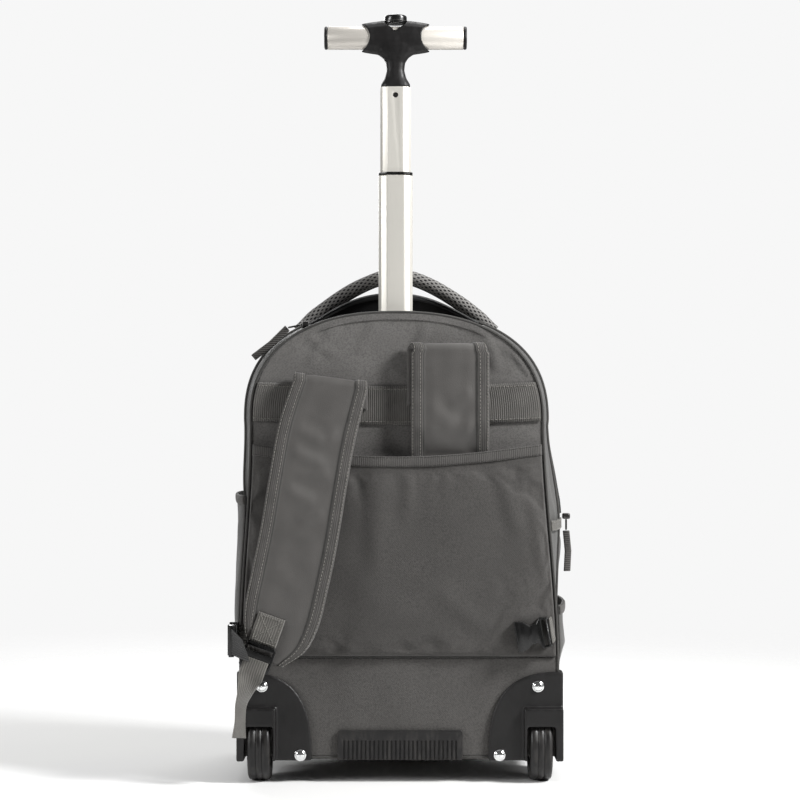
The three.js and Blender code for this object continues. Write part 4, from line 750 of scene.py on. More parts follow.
@dataclass(frozen=True)
class Finish:
    """A surface of one colour family."""

    name: str
    colour: Colour
    roughness: float = 0.6

    def made(self) -> bpy.types.Material:
        """The material, built once."""
        found = bpy.data.materials.get(self.name)
        if found:
            return found
        recipe = Recipe(self.name)
        self.build(recipe)
        return recipe.material

    def build(self, recipe: Recipe) -> None:
        """Lays the finish on the surface shader."""
        raise NotImplementedError


@dataclass(frozen=True)
class Weave(Finish):
    """Plain woven cloth with a soft bloom."""

    pitch: float = 0.9
    depth: float = 0.16
    mottle: float = 0.07
    sheen: float = 0.25

    def build(self, recipe: Recipe) -> None:
        """Lays crossed threads, uneven dye and fine fuzz."""
        u, v = recipe.flat_place()
        threads = u.sine(self.pitch * 2) * v.sine(self.pitch * 2)
        slub = recipe.noise(2.2, 2.0, (1, 1, 6))
        cloud = recipe.noise(60.0, 2.0)
        grain = recipe.noise(1.5, 3.0)
        height = threads * 0.32 + slub * 0.5 + 0.25
        dark = shade(self.colour, 1 - self.mottle * 1.6)
        light = shade(self.colour, 1 + self.mottle)
        tone = recipe.mix(cloud.step(0.3, 0.7), dark, light)
        tone = recipe.mix(1 - grain.step(0.32, 0.62), tone, shade(self.colour, 0.66))
        tone = recipe.mix((threads * 0.5 + 0.5) * 0.35, tone, shade(self.colour, 0.62))
        tone = recipe.mix(slub.step(0.55, 0.8) * 0.3, tone, shade(self.colour, 1.35))
        recipe.surface(
            Base_Color=tone,
            Roughness=recipe.noise(12.0) * 0.16 + (self.roughness - 0.08),
            Normal=recipe.bump(height, self.depth),
            Sheen_Weight=self.sheen,
            Sheen_Roughness=0.5,
            Specular_IOR_Level=0.3,
        )


@dataclass(frozen=True)
class Ribbed(Finish):
    """Webbing or tape with ribs along its length and a twill between them."""

    rib: float = 2.1
    depth: float = 0.35
    twill: float = 1.3
    sheen: float = 0.2

    def build(self, recipe: Recipe) -> None:
        """Lays ribs and slanted threads, with painted shade in the valleys and a painted highlight on the
        crests.
        """
        across, length = recipe.flat_place()
        ribs = across.sine(self.rib) * 0.5 + 0.5
        slant = (across * 0.9 + length).sine(self.twill) * 0.5 + 0.5
        cloud = recipe.noise(16.0, 3.0)
        height = ribs * 0.62 + slant * 0.38
        valley_shade = (1 - height).step(0.35, 1.0)
        tone = recipe.mix(cloud.step(0.3, 0.7), shade(self.colour, 0.86), shade(self.colour, 1.14))
        # Painted shade: the valleys between ribs and threads are darkened.
        tone = recipe.mix(valley_shade * 0.75, tone, shade(self.colour, 0.3))
        # Painted highlight: the rib crests are lightened.
        tone = recipe.mix(height.step(0.7, 1.0) * 0.5, tone, shade(self.colour, 1.8))
        recipe.surface(
            Base_Color=tone,
            Roughness=cloud * 0.14 + (self.roughness - 0.07),
            Normal=recipe.bump(height, self.depth),
            Sheen_Weight=self.sheen,
            Sheen_Roughness=0.4,
            Specular_IOR_Level=0.35,
        )


@dataclass(frozen=True)
class Coated(Finish):
    """Smooth coated cloth with a fine leather-like grain."""

    grain: float = 1.4
    depth: float = 0.07

    def build(self, recipe: Recipe) -> None:
        """Lays pebbled grain with painted shade in its grooves, rubbed patches and a soft sheen."""
        pebbles = recipe.add(
            "ShaderNodeTexVoronoi",
            {"feature": "DISTANCE_TO_EDGE"},
            {"Vector": recipe.add("ShaderNodeTexCoord", output="Object"), "Scale": 1000.0 / self.grain},
        )
        cloud = recipe.noise(30.0, 3.0)
        fine = recipe.noise(0.8, 2.0)
        tone = recipe.mix(cloud.step(0.3, 0.7), shade(self.colour, 0.92), shade(self.colour, 1.08))
        # Painted shade: the grooves between the pebbles are darkened.
        tone = recipe.mix((1 - pebbles.step(0.0, 0.12)) * 0.25, tone, shade(self.colour, 0.7))
        recipe.surface(
            Base_Color=tone,
            Roughness=cloud * 0.14 + fine * 0.08 + (self.roughness - 0.11),
            Normal=recipe.bump(pebbles.step(0.0, 0.25) * 0.7 + fine * 0.3, self.depth),
            Specular_IOR_Level=0.42,
            Sheen_Weight=0.1,
        )


@dataclass(frozen=True)
class SpacerMesh(Finish):
    """Knitted spacer mesh with rows of slanted holes."""

    pitch: float = 4.6

    def build(self, recipe: Recipe) -> None:
        """Lays raised bars round holes painted nearly black as shade."""
        u, v = recipe.flat_place()
        first = abs((u + v * 0.62).sine(2 * self.pitch))
        second = abs((u - v * 0.62).sine(2 * self.pitch))
        shaded_hole = (first * second).step(0.42, 0.72)
        fibre = (u * 0.4 + v).sine(0.9) * 0.5 + 0.5
        tone = recipe.mix(fibre * 0.4, self.colour, shade(self.colour, 1.35))
        # Painted shade: the holes are darkened nearly to black.
        tone = recipe.mix(shaded_hole, tone, shade(self.colour, 0.05))
        recipe.surface(
            Base_Color=tone,
            Roughness=shaded_hole * 0.2 + self.roughness,
            Normal=recipe.bump((1 - shaded_hole) * 0.85 + fibre * 0.15, 0.9),
            Sheen_Weight=0.25,
            Specular_IOR_Level=0.3,
        )


@dataclass(frozen=True)
class ZipTape(Finish):
    """Zip tape with a raised coil along its middle."""

    width: float = 11.0
    tooth: float = 1.4

    def build(self, recipe: Recipe) -> None:
        """Lays herringbone tape and the coil's turns, with a painted highlight on the turns."""
        u, v = recipe.flat_place()
        aside = abs(u - self.width / 2)
        coil = 1 - aside.step(1.4, 2.2)
        turns = (v + aside * 0.4).sine(self.tooth) * 0.5 + 0.5
        bone = (v + aside).sine(1.0) * 0.5 + 0.5
        height = coil * (turns * 0.6 + 0.4) + (1 - coil) * bone * 0.25
        # Painted highlight: the coil's raised turns are lighter, the tape between them darker.
        tone = recipe.mix(coil * turns, shade(self.colour, 0.8), shade(self.colour, 2.2))
        recipe.surface(
            Base_Color=tone,
            Roughness=self.roughness - coil * 0.3,
            Normal=recipe.bump(height, 0.6),
            Specular_IOR_Level=0.4,
        )


@dataclass(frozen=True)
class Moulded(Finish):
    """Moulded plastic or rubber with spark grain and rubbed edges."""

    grain: float = 0.9
    depth: float = 0.06
    wear: float = 0.35
    dust: float = 0.0
    coat: float = 0.0
    ribs: float = 0.0

    def build(self, recipe: Recipe) -> None:
        """Lays the grain or cross ribs, scuffs, pale rubbed edges and floor dust."""
        grain = recipe.noise(self.grain, 2.0)
        if self.ribs:
            grain = recipe.room_place()[2].sine(self.ribs) * 0.5 + 0.5
        cloud = recipe.noise(26.0, 4.0)
        scuff = recipe.noise(5.0, 5.0, (1, 1, 0.25))
        edge = recipe.add("ShaderNodeNewGeometry", output="Pointiness").step(0.52, 0.6)
        tone = recipe.mix(cloud.step(0.3, 0.7), shade(self.colour, 0.85), shade(self.colour, 1.15))
        tone = recipe.mix(edge * scuff.step(0.4, 0.6) * self.wear, tone, shade(self.colour, 2.6))
        if self.dust:
            tone = recipe.mix(scuff.step(0.45, 0.7) * self.dust, tone, hue("8a857d"))
        recipe.surface(
            Base_Color=tone,
            Roughness=scuff.step(0.4, 0.7) * 0.16 + cloud * 0.1 + (self.roughness - 0.1),
            Normal=recipe.bump(grain, self.depth),
            Specular_IOR_Level=0.32,
            Coat_Weight=self.coat,
            Coat_Roughness=0.15,
        )


@dataclass(frozen=True)
class Metal(Finish):
    """Drawn or cast metal."""

    brush: Colour = (1, 1, 1)
    metallic: float = 1.0
    depth: float = 0.01
    scratches: float = 0.25

    def build(self, recipe: Recipe) -> None:
        """Lays drawn lines, handling marks and fine scratches."""
        lines = recipe.noise(0.5, 3.0, self.brush)
        cloud = recipe.noise(34.0, 3.0)
        marks = recipe.noise(3.0, 6.0, (1, 1, 0.06)).step(0.62, 0.7)
        tone = recipe.mix(lines * 0.35 + cloud * 0.2, shade(self.colour, 0.93), shade(self.colour, 1.05))
        tone = recipe.mix(marks * self.scratches, tone, shade(self.colour, 0.8))
        recipe.surface(
            Base_Color=tone,
            Metallic=self.metallic,
            Roughness=lines * 0.12 + cloud * 0.08 + marks * 0.1 * self.scratches + (self.roughness - 0.1),
            Normal=recipe.bump(lines, self.depth),
        )


NYLON = Weave("nylon_back", hue("646260"), 0.82)
# Painted shade: the back's nylon, made darker on the strap pocket, which gets less light than the upper
# panel.
SHADED_POCKET_NYLON = Weave("nylon_pocket", hue("454341"), 0.82)
BASE_NYLON = Weave("nylon_base", hue("4c4a48"), 0.78, mottle=0.05)
# Painted shade: the nylon made darker on the sleeve, main body and side pockets, so that the sides lit by the
# side lights come out dark.
SHADED_BODY_NYLON = Weave("nylon_body", hue("454442"), 0.82)
LINING = Weave("lining", hue("2a2928"), 0.85, pitch=0.7)
BINDING = Ribbed("binding_tape", hue("4c4a48"), 0.78, rib=1.9, depth=0.28, twill=1.2)
# Painted shade: the strap webbing made nearly black for the adjuster's loop, which lies in shadow.
SHADED_WEBBING = Ribbed("black_webbing", hue("232323"), 0.7, rib=2.4, depth=0.4)
WEBBING = Ribbed("strap_webbing", hue("605e5a"), 0.7, rib=2.4, depth=0.4)
BAND = Ribbed("band_webbing", hue("5b5956"), 0.75, rib=2.1, depth=0.5)
PIPING = Ribbed("piping", hue("3a3937"), 0.75, rib=1.2, depth=0.15)
COATED = Coated("coated_cloth", hue("4b4947"), 0.54)
MESH = SpacerMesh("spacer_mesh", hue("757371"), 0.75)
TAPE = Weave("black_tape", hue("1d1d1e"), 0.8, pitch=0.7)
ZIPPER = ZipTape("zip_tape", hue("1f1f20"), 0.7)
THREAD = Weave("thread", hue("86837d"), 0.6, pitch=0.3, depth=0.05)
DARK_THREAD = Weave("dark_thread", hue("34322f"), 0.6, pitch=0.3, depth=0.05)
PLASTIC = Moulded("housing_plastic", hue("191818"), 0.46)
GRIP_BLACK = Moulded("grip_plastic", hue("161515"), 0.48, wear=0.2)
GLOSS = Moulded("gloss_plastic", hue("101010"), 0.3, grain=2.0, depth=0.02, coat=0.3)
GUARD = Moulded("guard_rubber", hue("1b1a1a"), 0.6, dust=0.04)
TYRE = Moulded("tyre_rubber", hue("1b1a1a"), 0.42, grain=0.7, wear=0.4, dust=0.06)
SATIN = Metal("satin_aluminium", hue("dddad2"), 0.4, brush=(1, 1, 0.02), metallic=0.4, depth=0.004)
BAR_SATIN = Metal("bar_aluminium", hue("e4dfd7"), 0.36, brush=(0.02, 1, 1), metallic=0.4, depth=0.004)
CHROME = Metal("polished_steel", hue("eceded"), 0.14, scratches=0.1, depth=0.002)
ZINC = Metal("gunmetal", hue("5b5a59"), 0.36, depth=0.01)
TAG = Moulded("pull_rubber", hue("4a4846"), 0.55, depth=0.5, ribs=2.0)


# The workshop


@dataclass
class Workshop:
    """Takes finished pieces into the frame and reports them."""

    count: int = 0

    def place(
        self,
        piece: Piece,
        body: str,
        finishes: Finish | Sequence[Finish],
        stands_for: Sequence[str] = (),
        slot: str | None = None,
    ) -> Piece:
        """Dresses a piece and lets it ride on a body.

        Args:
            piece: The piece.
            body: The body that carries it.
            finishes: Its finish, or several in the order of its faces' numbers.
            stands_for: Nodes that it replaces.
            slot: The material slot that its finish belongs to. Not used.

        Returns:
            The piece.
        """
        several = [finishes] if isinstance(finishes, Finish) else list(finishes)
        piece.data.materials.clear()
        for finish in several:
            piece.data.materials.append(finish.made())
        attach(piece, body)
        if stands_for:
            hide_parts(*stands_for)
        self.count += 1
        log.info("%s: %d faces on %s", piece.name, len(piece.data.polygons), body)
        return piece


@dataclass(frozen=True)
class Stitching:
    """A run of thread along a seam."""

    length: float = 2.6
    gap: float = 1.0
    radius: float = 0.28

    def sew(self, name: str, runs: Sequence[Array], out: Sequence[Array]) -> Piece:
        """Makes every stitch of several runs as one mesh.

        Args:
            name: The piece's name.
            runs: The seam lines.
            out: For each run, the direction off the cloth, or one for each of its points.

        Returns:
            The linked object.
        """
        pitch = self.length + self.gap
        shares = np.array([-0.5, -0.3, 0.3, 0.5])
        lift = np.array([-0.9, 0.35, 0.35, -0.9]) * self.radius
        turn = np.linspace(0, 2 * math.pi, 5, endpoint=False)
        points, faces = [], []
        for run, away in zip(runs, out):
            lengths = np.concatenate([[0], np.cumsum(np.linalg.norm(np.diff(run, axis=0), axis=1))])
            at = np.arange(pitch / 2, lengths[-1] - pitch / 2, pitch)
            aways = np.broadcast_to(away, run.shape)

            def read(table: Array, where: Array, known: Array = lengths) -> Array:
                return np.stack([np.interp(where, known, table[:, i]) for i in range(3)], -1)

            middle = read(run, at)
            along = unit(read(run, at + 0.4) - read(run, at - 0.4))
            off = unit(read(aways, at))
            side = unit(np.cross(along, off))
            for m, a, o, s in zip(middle, along, off, side):
                base = len(points) * 20
                rings = [
                    m + a * share * self.length + o * rise + self.radius * (np.cos(t) * s + np.sin(t) * o)
                    for share, rise in zip(shares, lift)
                    for t in turn
                ]
                points.append(rings)
                for first in (base, base + 5, base + 10):
                    for k in range(5):
                        n = (k + 1) % 5
                        faces.append([first + k, first + n, first + 5 + n, first + 5 + k])
        return make_object(name, np.array(points).reshape(-1, 3), faces, np.zeros((len(faces) * 4, 2)))


# Helpers for sewn and moulded pieces


def ribbon(
    name: str,
    at: Array,
    across: Array,
    out: Array,
    width: Any,
    thick: Any,
    places: Array | None = None,
    relief: Callable[[Array, Array], Array] | None = None,
) -> Piece:
    """A closed band along a route.

    Args:
        name: The piece's name.
        at: The route on the inner face.
        across: The direction over the band, at each place.
        out: The direction off its inner face, at each place.
        width: Its width, or one for each place.
        thick: Its thickness, or one for each place.
        places: Places over the outer face, from -1 to 1.
        relief: Height of the outer face over a flat one, from millimetres across and along.

    Returns:
        The linked object.
    """
    s = np.linspace(-1, 1, 15) if places is None else places
    lengths = np.concatenate([[0], np.cumsum(np.linalg.norm(np.diff(at, axis=0), axis=1))])
    half = np.broadcast_to(width, len(at))[:, None] / 2
    deep = np.broadcast_to(thick, len(at))[:, None]
    edge = np.minimum(deep * 0.5, half * 0.3)
    from_edge = (1 - np.abs(s))[None, :] * half
    rounding = np.sqrt(np.clip(1 - (1 - np.clip(from_edge / edge, 0, 1)) ** 2, 0, 1))
    upper = deep * (0.5 + 0.5 * rounding)
    if relief is not None:
        upper = upper + relief(s[None, :] * half, lengths[:, None] + 0 * half)
    lower = deep * (0.5 - 0.5 * rounding)
    x = np.concatenate([s[None, :] * half, (s[None, :] * half)[:, ::-1]], 1)[:, :, None]
    y = np.concatenate([upper, lower[:, ::-1]], 1)[:, :, None]
    return grid(name, at[:, None] + x * across[:, None] + y * out[:, None], ring=True, caps=True)


def squared(at: Array, across: Array, out: Array) -> Array:
    """The outward directions turned square to a route and to the direction across."""
    run = np.gradient(at, axis=0)
    made = unit(np.cross(across, run))
    return made * np.where((made * out).sum(1, keepdims=True) < 0, -1.0, 1.0)


def baked(piece: Piece) -> Piece:
    """Applies a piece's modifiers."""
    shaped = piece.evaluated_get(bpy.context.evaluated_depsgraph_get())
    mesh = bpy.data.meshes.new_from_object(shaped)
    piece.modifiers.clear()
    old = piece.data
    piece.data = mesh
    mesh.name = piece.name
    bpy.data.meshes.remove(old)
    mesh.polygons.foreach_set("use_smooth", [True] * len(mesh.polygons))
    return piece


def copied(node: str, name: str, merge: bool = True) -> Piece:
    """A new object with a solid's mesh, its corners joined.

    Args:
        node: The solid's name.
        name: The new piece's name.
        merge: Whether flat faces are joined too. A tube's rim stays open without it.

    Returns:
        The linked object.
    """
    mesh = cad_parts[node].data.copy()
    made = bmesh.new()
    made.from_mesh(mesh)
    bmesh.ops.remove_doubles(made, verts=made.verts, dist=1e-5)
    if merge:
        bmesh.ops.dissolve_limit(made, angle_limit=math.radians(1.5), verts=made.verts, edges=made.edges)
    made.to_mesh(mesh)
    made.free()
    mesh.materials.clear()
    piece = bpy.data.objects.new(name, mesh)
    bpy.context.scene.collection.objects.link(piece)
    mesh.polygons.foreach_set("use_smooth", [True] * len(mesh.polygons))
    return piece


def rounded_copy(
    node: str, name: str, edge: float, angle: float = 28.0, segments: int = 3, merge: bool = True
) -> Piece:
    """A solid's copy with its sharp edges rounded off.

    Args:
        node: The solid's name.
        name: The new piece's name.
        edge: Radius of the edges, in millimetres.
        angle: Edges sharper than this are rounded, in degrees.
        segments: Steps of the rounding.
        merge: Whether flat faces are joined first.

    Returns:
        The linked object.
    """
    piece = copied(node, name, merge)
    bevel = piece.modifiers.new("edges", "BEVEL")
    bevel.width = edge * MM
    bevel.segments = segments
    bevel.limit_method = "ANGLE"
    bevel.angle_limit = math.radians(angle)
    bevel.harden_normals = True
    bevel.use_clamp_overlap = True
    return baked(piece)


def smooth_copy(node: str, name: str, voxel: float, passes: int = 8) -> Piece:
    """A solid's copy with a fine, evenly rounded skin.

    Args:
        node: The solid's name.
        name: The new piece's name.
        voxel: Size of its faces, in millimetres.
        passes: How often the skin is eased.

    Returns:
        The linked object.
    """
    piece = copied(node, name)
    fine = piece.modifiers.new("skin", "REMESH")
    fine.mode = "VOXEL"
    fine.voxel_size = voxel * MM * 1.0
    ease = piece.modifiers.new("ease", "SMOOTH")
    ease.factor = 0.5
    ease.iterations = passes
    return baked(piece)


# The sewn body


@dataclass
class BackPanels:
    """The flat strap side: upper and base panel, hem, piping and stitching."""

    face: float = 1.1
    wall: float = 1.7
    hem: float = 7.0
    hem_rise: float = 0.9
    hem_reach: float = 82.0
    piping: float = 1.6
    creases: tuple[Crease, ...] = (
        Crease((-58, 462), (-96, 416), 5.0, 1.6),
        Crease((-20, 461), (-46, 428), 5.5, 1.3),
        Crease((30, 462), (8, 414), 5.0, 1.4),
        Crease((84, 452), (100, 408), 6.0, 1.7),
        Crease((112, 436), (136, 404), 4.5, 1.4),
        Crease((-140, 396), (-128, 350), 4.5, 1.3),
        Crease((-98, 452), (-60, 424), 5.0, 0.9),
        Crease((-12, 420), (4, 404), 5.0, 0.9),
    )

    def relief(self, x: Array, z: Array) -> Array:
        """Unevenness of the cloth towards the straps, in millimetres."""
        loose = smooth((z - 402) / 8)
        height = folds(self.creases, x, z) + 0.5 * drape(x, z, 46, 7)
        limit = 0.25 + 1.4 * loose * (1 - 0.6 * bump_at(x, 50, 46) * (z < 445))
        return limit * np.tanh(height / limit)

    def upper(self, shop: Workshop) -> None:
        """Builds the arched upper panel with its hem."""
        x, z = FORM.rows(FORM.seam + 0.3, FORM.top - 0.4, 0.5, 150, 121)
        drop = FORM.half_width(z) - np.abs(x - FORM.centre_x(z))
        arch = np.where(z > FORM.shoulder, self.inside_arch(x, z), drop)
        hem = self.hem_rise * (1 - smooth((arch - self.hem) / 1.2)) * smooth((z - 395) / 25)
        hem = hem * smooth((self.hem_reach + 14 - np.abs(x)) / 22)
        y = self.face - self.relief(x, z) * smooth(arch / 9) - hem
        panel = grid("back_cloth", np.stack([x, y, z], -1))
        facing(panel, (0, -1, 0))
        shop.place(panel, "bag", NYLON, ["back_panel"], "nylon")
        thicken(panel, self.wall, -1)
        line = even(self.hem_line(), 1.0)
        seam = Stitching(2.4, 1.1, 0.26).sew("hem_stitches", [line], [REAR])
        shop.place(seam, "bag", DARK_THREAD, slot="nylon")

    @staticmethod
    def inside_arch(x: Array, z: Array) -> Array:
        """Rough distance in from the arched edge."""
        share = np.clip((z - FORM.shoulder) / FORM.arch_rise, 0, 1)
        half = FORM.shoulder_width / 2
        across = np.clip(np.abs(x - FORM.centre_x(z)) / half, 0, 1)
        power = FORM.arch_power
        level = share**power + across**power
        slope = power * np.hypot(share ** (power - 1) / FORM.arch_rise, across ** (power - 1) / half)
        return (1 - level) / np.maximum(slope, 1e-3)

    def hem_line(self) -> Array:
        """The stitched line inside the arched edge."""
        turn = np.linspace(0.05, math.pi - 0.05, 160)
        line = FORM.arch(lambda z: 0.0 * z, turn, self.hem - 0.4)
        line[:, 1] = self.face - self.hem_rise - 0.2
        return line[np.abs(line[:, 0]) < self.hem_reach]

    def base(self, shop: Workshop) -> None:
        """Builds the base panel and the cord-like seam over it."""
        x, z = FORM.rows(FORM.base + 0.5, FORM.seam - 0.4, 0.8, 44, 121)
        y = self.face - 0.5 * np.tanh(drape(x, z, 60, 11) * 1.2)
        panel = grid("base_cloth", np.stack([x, y, z], -1))
        facing(panel, (0, -1, 0))
        shop.place(panel, "bag", BASE_NYLON, ["base_back_panel"], "nylon")
        thicken(panel, self.wall, -1)
        half = FORM.half_width(FORM.seam) - 1.5
        across = np.linspace(-half, half, 160)
        rise = FORM.seam + 1.2 * smooth((across - 80) / 60)
        path = np.stack([FORM.centre_x(FORM.seam) + across, 0 * across + 0.1, rise], -1)
        seam = tube("base_seam", even(path, 2.0), 0.8, 8)
        shop.place(seam, "bag", PIPING, slot="tape")
        runs = [path + np.array([0, 0.3, -1.5])]
        stitches = Stitching(1.5, 1.3, 0.42).sew("base_stitches", runs, [REAR])
        shop.place(stitches, "bag", DARK_THREAD, slot="nylon")

    def edges(self, shop: Workshop) -> None:
        """Builds the piping round the back panel and round the main body's rear seam."""
        for name, y, out in (("rear_piping", 1.4, 0.5), ("body_piping", 46.7, 0.7)):
            line = FORM.ring(y, 0.0, -out)
            clear = (line[:, 2] > FORM.well_top + 2) | (np.abs(line[:, 0]) < FORM.well_inner - 3)
            runs = np.split(line, np.nonzero(np.diff(clear.astype(int)))[0] + 1)
            flags = [clear[i] for i in np.concatenate([[0], np.cumsum([len(r) for r in runs])[:-1]])]
            kept = [r for r, good in zip(runs, flags) if good and len(r) > 6]
            for index, run in enumerate(kept):
                cord = tube(f"{name}_{index + 1}", even(run, 2.5), self.piping, 8)
                shop.place(cord, "bag", PIPING, slot="tape")

    def build(self, shop: Workshop) -> None:
        """Builds the strap side."""
        self.upper(shop)
        self.base(shop)
        self.edges(shop)


@dataclass
class TrolleyBand:
    """The wall of the pole's sleeve between strap side and main body, with its undone zip's lips."""

    near: float = 3.3
    far: float = 45.3
    wall: float = 2.0
    mouth: tuple[float, float] = (-96.0, 82.0)
    lip_margin: float = 5.0
    lip_width: float = 5.0
    peak: float = 16.0

    def wall_cloth(self, shop: Workshop) -> None:
        """Builds the wall all round but for the mouth and the wheel wells."""
        depths = np.linspace(self.near, self.far, 13)
        rings = np.stack([FORM.ring(y, 0.0) for y in depths])
        x, y, z = rings[..., 0], rings[..., 1], rings[..., 2]
        sag = 1.5 * np.sin(math.pi * (y - self.near) / (self.far - self.near))
        sag = sag * (1 + 0.8 * drape(z, y * 2, 70, 5)) * smooth((z - 40) / 60)
        rings[..., 0] -= np.sign(x) * sag * (z < 430)
        open_top = (z > FORM.shoulder) & (x > self.mouth[0]) & (x < self.mouth[1])
        well = (np.abs(x) > FORM.well_inner) & (z < FORM.well_top)
        cloth = grid("trolley_band", rings, ring=True, keep=~(open_top | well))
        names = ["trolley_gusset_left", "trolley_gusset_floor", "trolley_gusset_right"]
        shop.place(cloth, "bag", SHADED_BODY_NYLON, names, "nylon")
        thicken(cloth, self.wall, -1)

    def divider(self, shop: Workshop) -> None:
        """Builds the panel behind the pole."""
        x, z = FORM.rows(FORM.base + 2.5, FORM.top - 3, 2.6, 70, 61)
        y = 46.6 + 0.5 * drape(x, z, 80, 3)
        panel = grid("divider_cloth", np.stack([x, y, z], -1))
        facing(panel, (0, -1, 0))
        shop.place(panel, "bag", LINING, ["divider_panel"], "nylon")
        thicken(panel, 1.8, 0)

    def turns(self, count: int) -> Array:
        """Angles over the mouth, from its left end."""
        def angle(x: float) -> float:
            share = min(1.0, abs(x) / (FORM.shoulder_width / 2))
            return math.acos(math.copysign(share ** (FORM.arch_power / 2), x))

        left, right = -92.0 + self.lip_margin, 86.0 - self.lip_margin
        return np.linspace(angle(left), angle(right), count)

    def lips(self, shop: Workshop) -> None:
        """Builds both lips with their zip teeth."""
        turn = self.turns(90)
        u = np.linspace(0, 1, 90)
        lift = self.peak * np.sin(math.pi * u) ** 1.5
        out = [(0.0, -1.5), (0.4, 0.2), (1.6, 0.9), (3.2, 0.5), (5.0, -0.3)]
        rows = []
        for dy, dz in out:
            row = FORM.arch(lambda z, d=dy: self.near + d + 0 * z, turn)
            row[:, 2] += dz
            rows.append(row)
        back = grid("sleeve_lip_back", np.stack(rows))
        facing(back, (0, 0, 1))
        shop.place(back, "bag", TAPE, ["zip_lip_back"], "nylon")
        thicken(back, 1.3, -1)
        foot, crest = self.far + 0.2, self.far - self.lip_width
        course = [(foot, -3.0, 0.0), (foot - 0.6, 0.0, 0.25), (foot - 1.6, 0.0, 0.6)]
        course += [(foot - 2.4, -0.4, 0.88), (foot - 3.0, 0.0, 1.0), (crest + 1.4, 0.4, 1.03)]
        course += [(crest, -0.6, 0.98), (crest + 0.4, -2.6, 0.9)]
        rows = []
        for y, dz, share in course:
            row = FORM.arch(lambda z, at=y: at + 0 * z, turn)
            row[:, 2] += dz + lift * share
            row[:, 1] -= 2.5 * share * np.sin(math.pi * u)
            rows.append(row)
        rear = grid("sleeve_lip_rear", np.stack(rows))
        facing(rear, (0, -1, 0.3))
        shop.place(rear, "bag", TAPE, ["zip_lip_rear"], "tape")
        thicken(rear, 1.0, -1)
        teeth = []
        for y, share, dz in ((self.near + self.lip_width + 0.3, 0.0, 0.1), (crest - 2.6, 0.98, 0.2)):
            line = FORM.arch(lambda z, at=y: at + 0 * z, turn)
            line[:, 2] += lift * share + dz
            teeth.append(even(line, 1.0))
        sewn = Stitching(1.0, 0.5, 0.75).sew("sleeve_zip_teeth", teeth, [np.array([0, 0, 1.0])] * 2)
        shop.place(sewn, "bag", GLOSS, slot="tape")

    def build(self, shop: Workshop) -> None:
        """Builds the sleeve."""
        self.wall_cloth(shop)
        self.divider(shop)
        self.lips(shop)


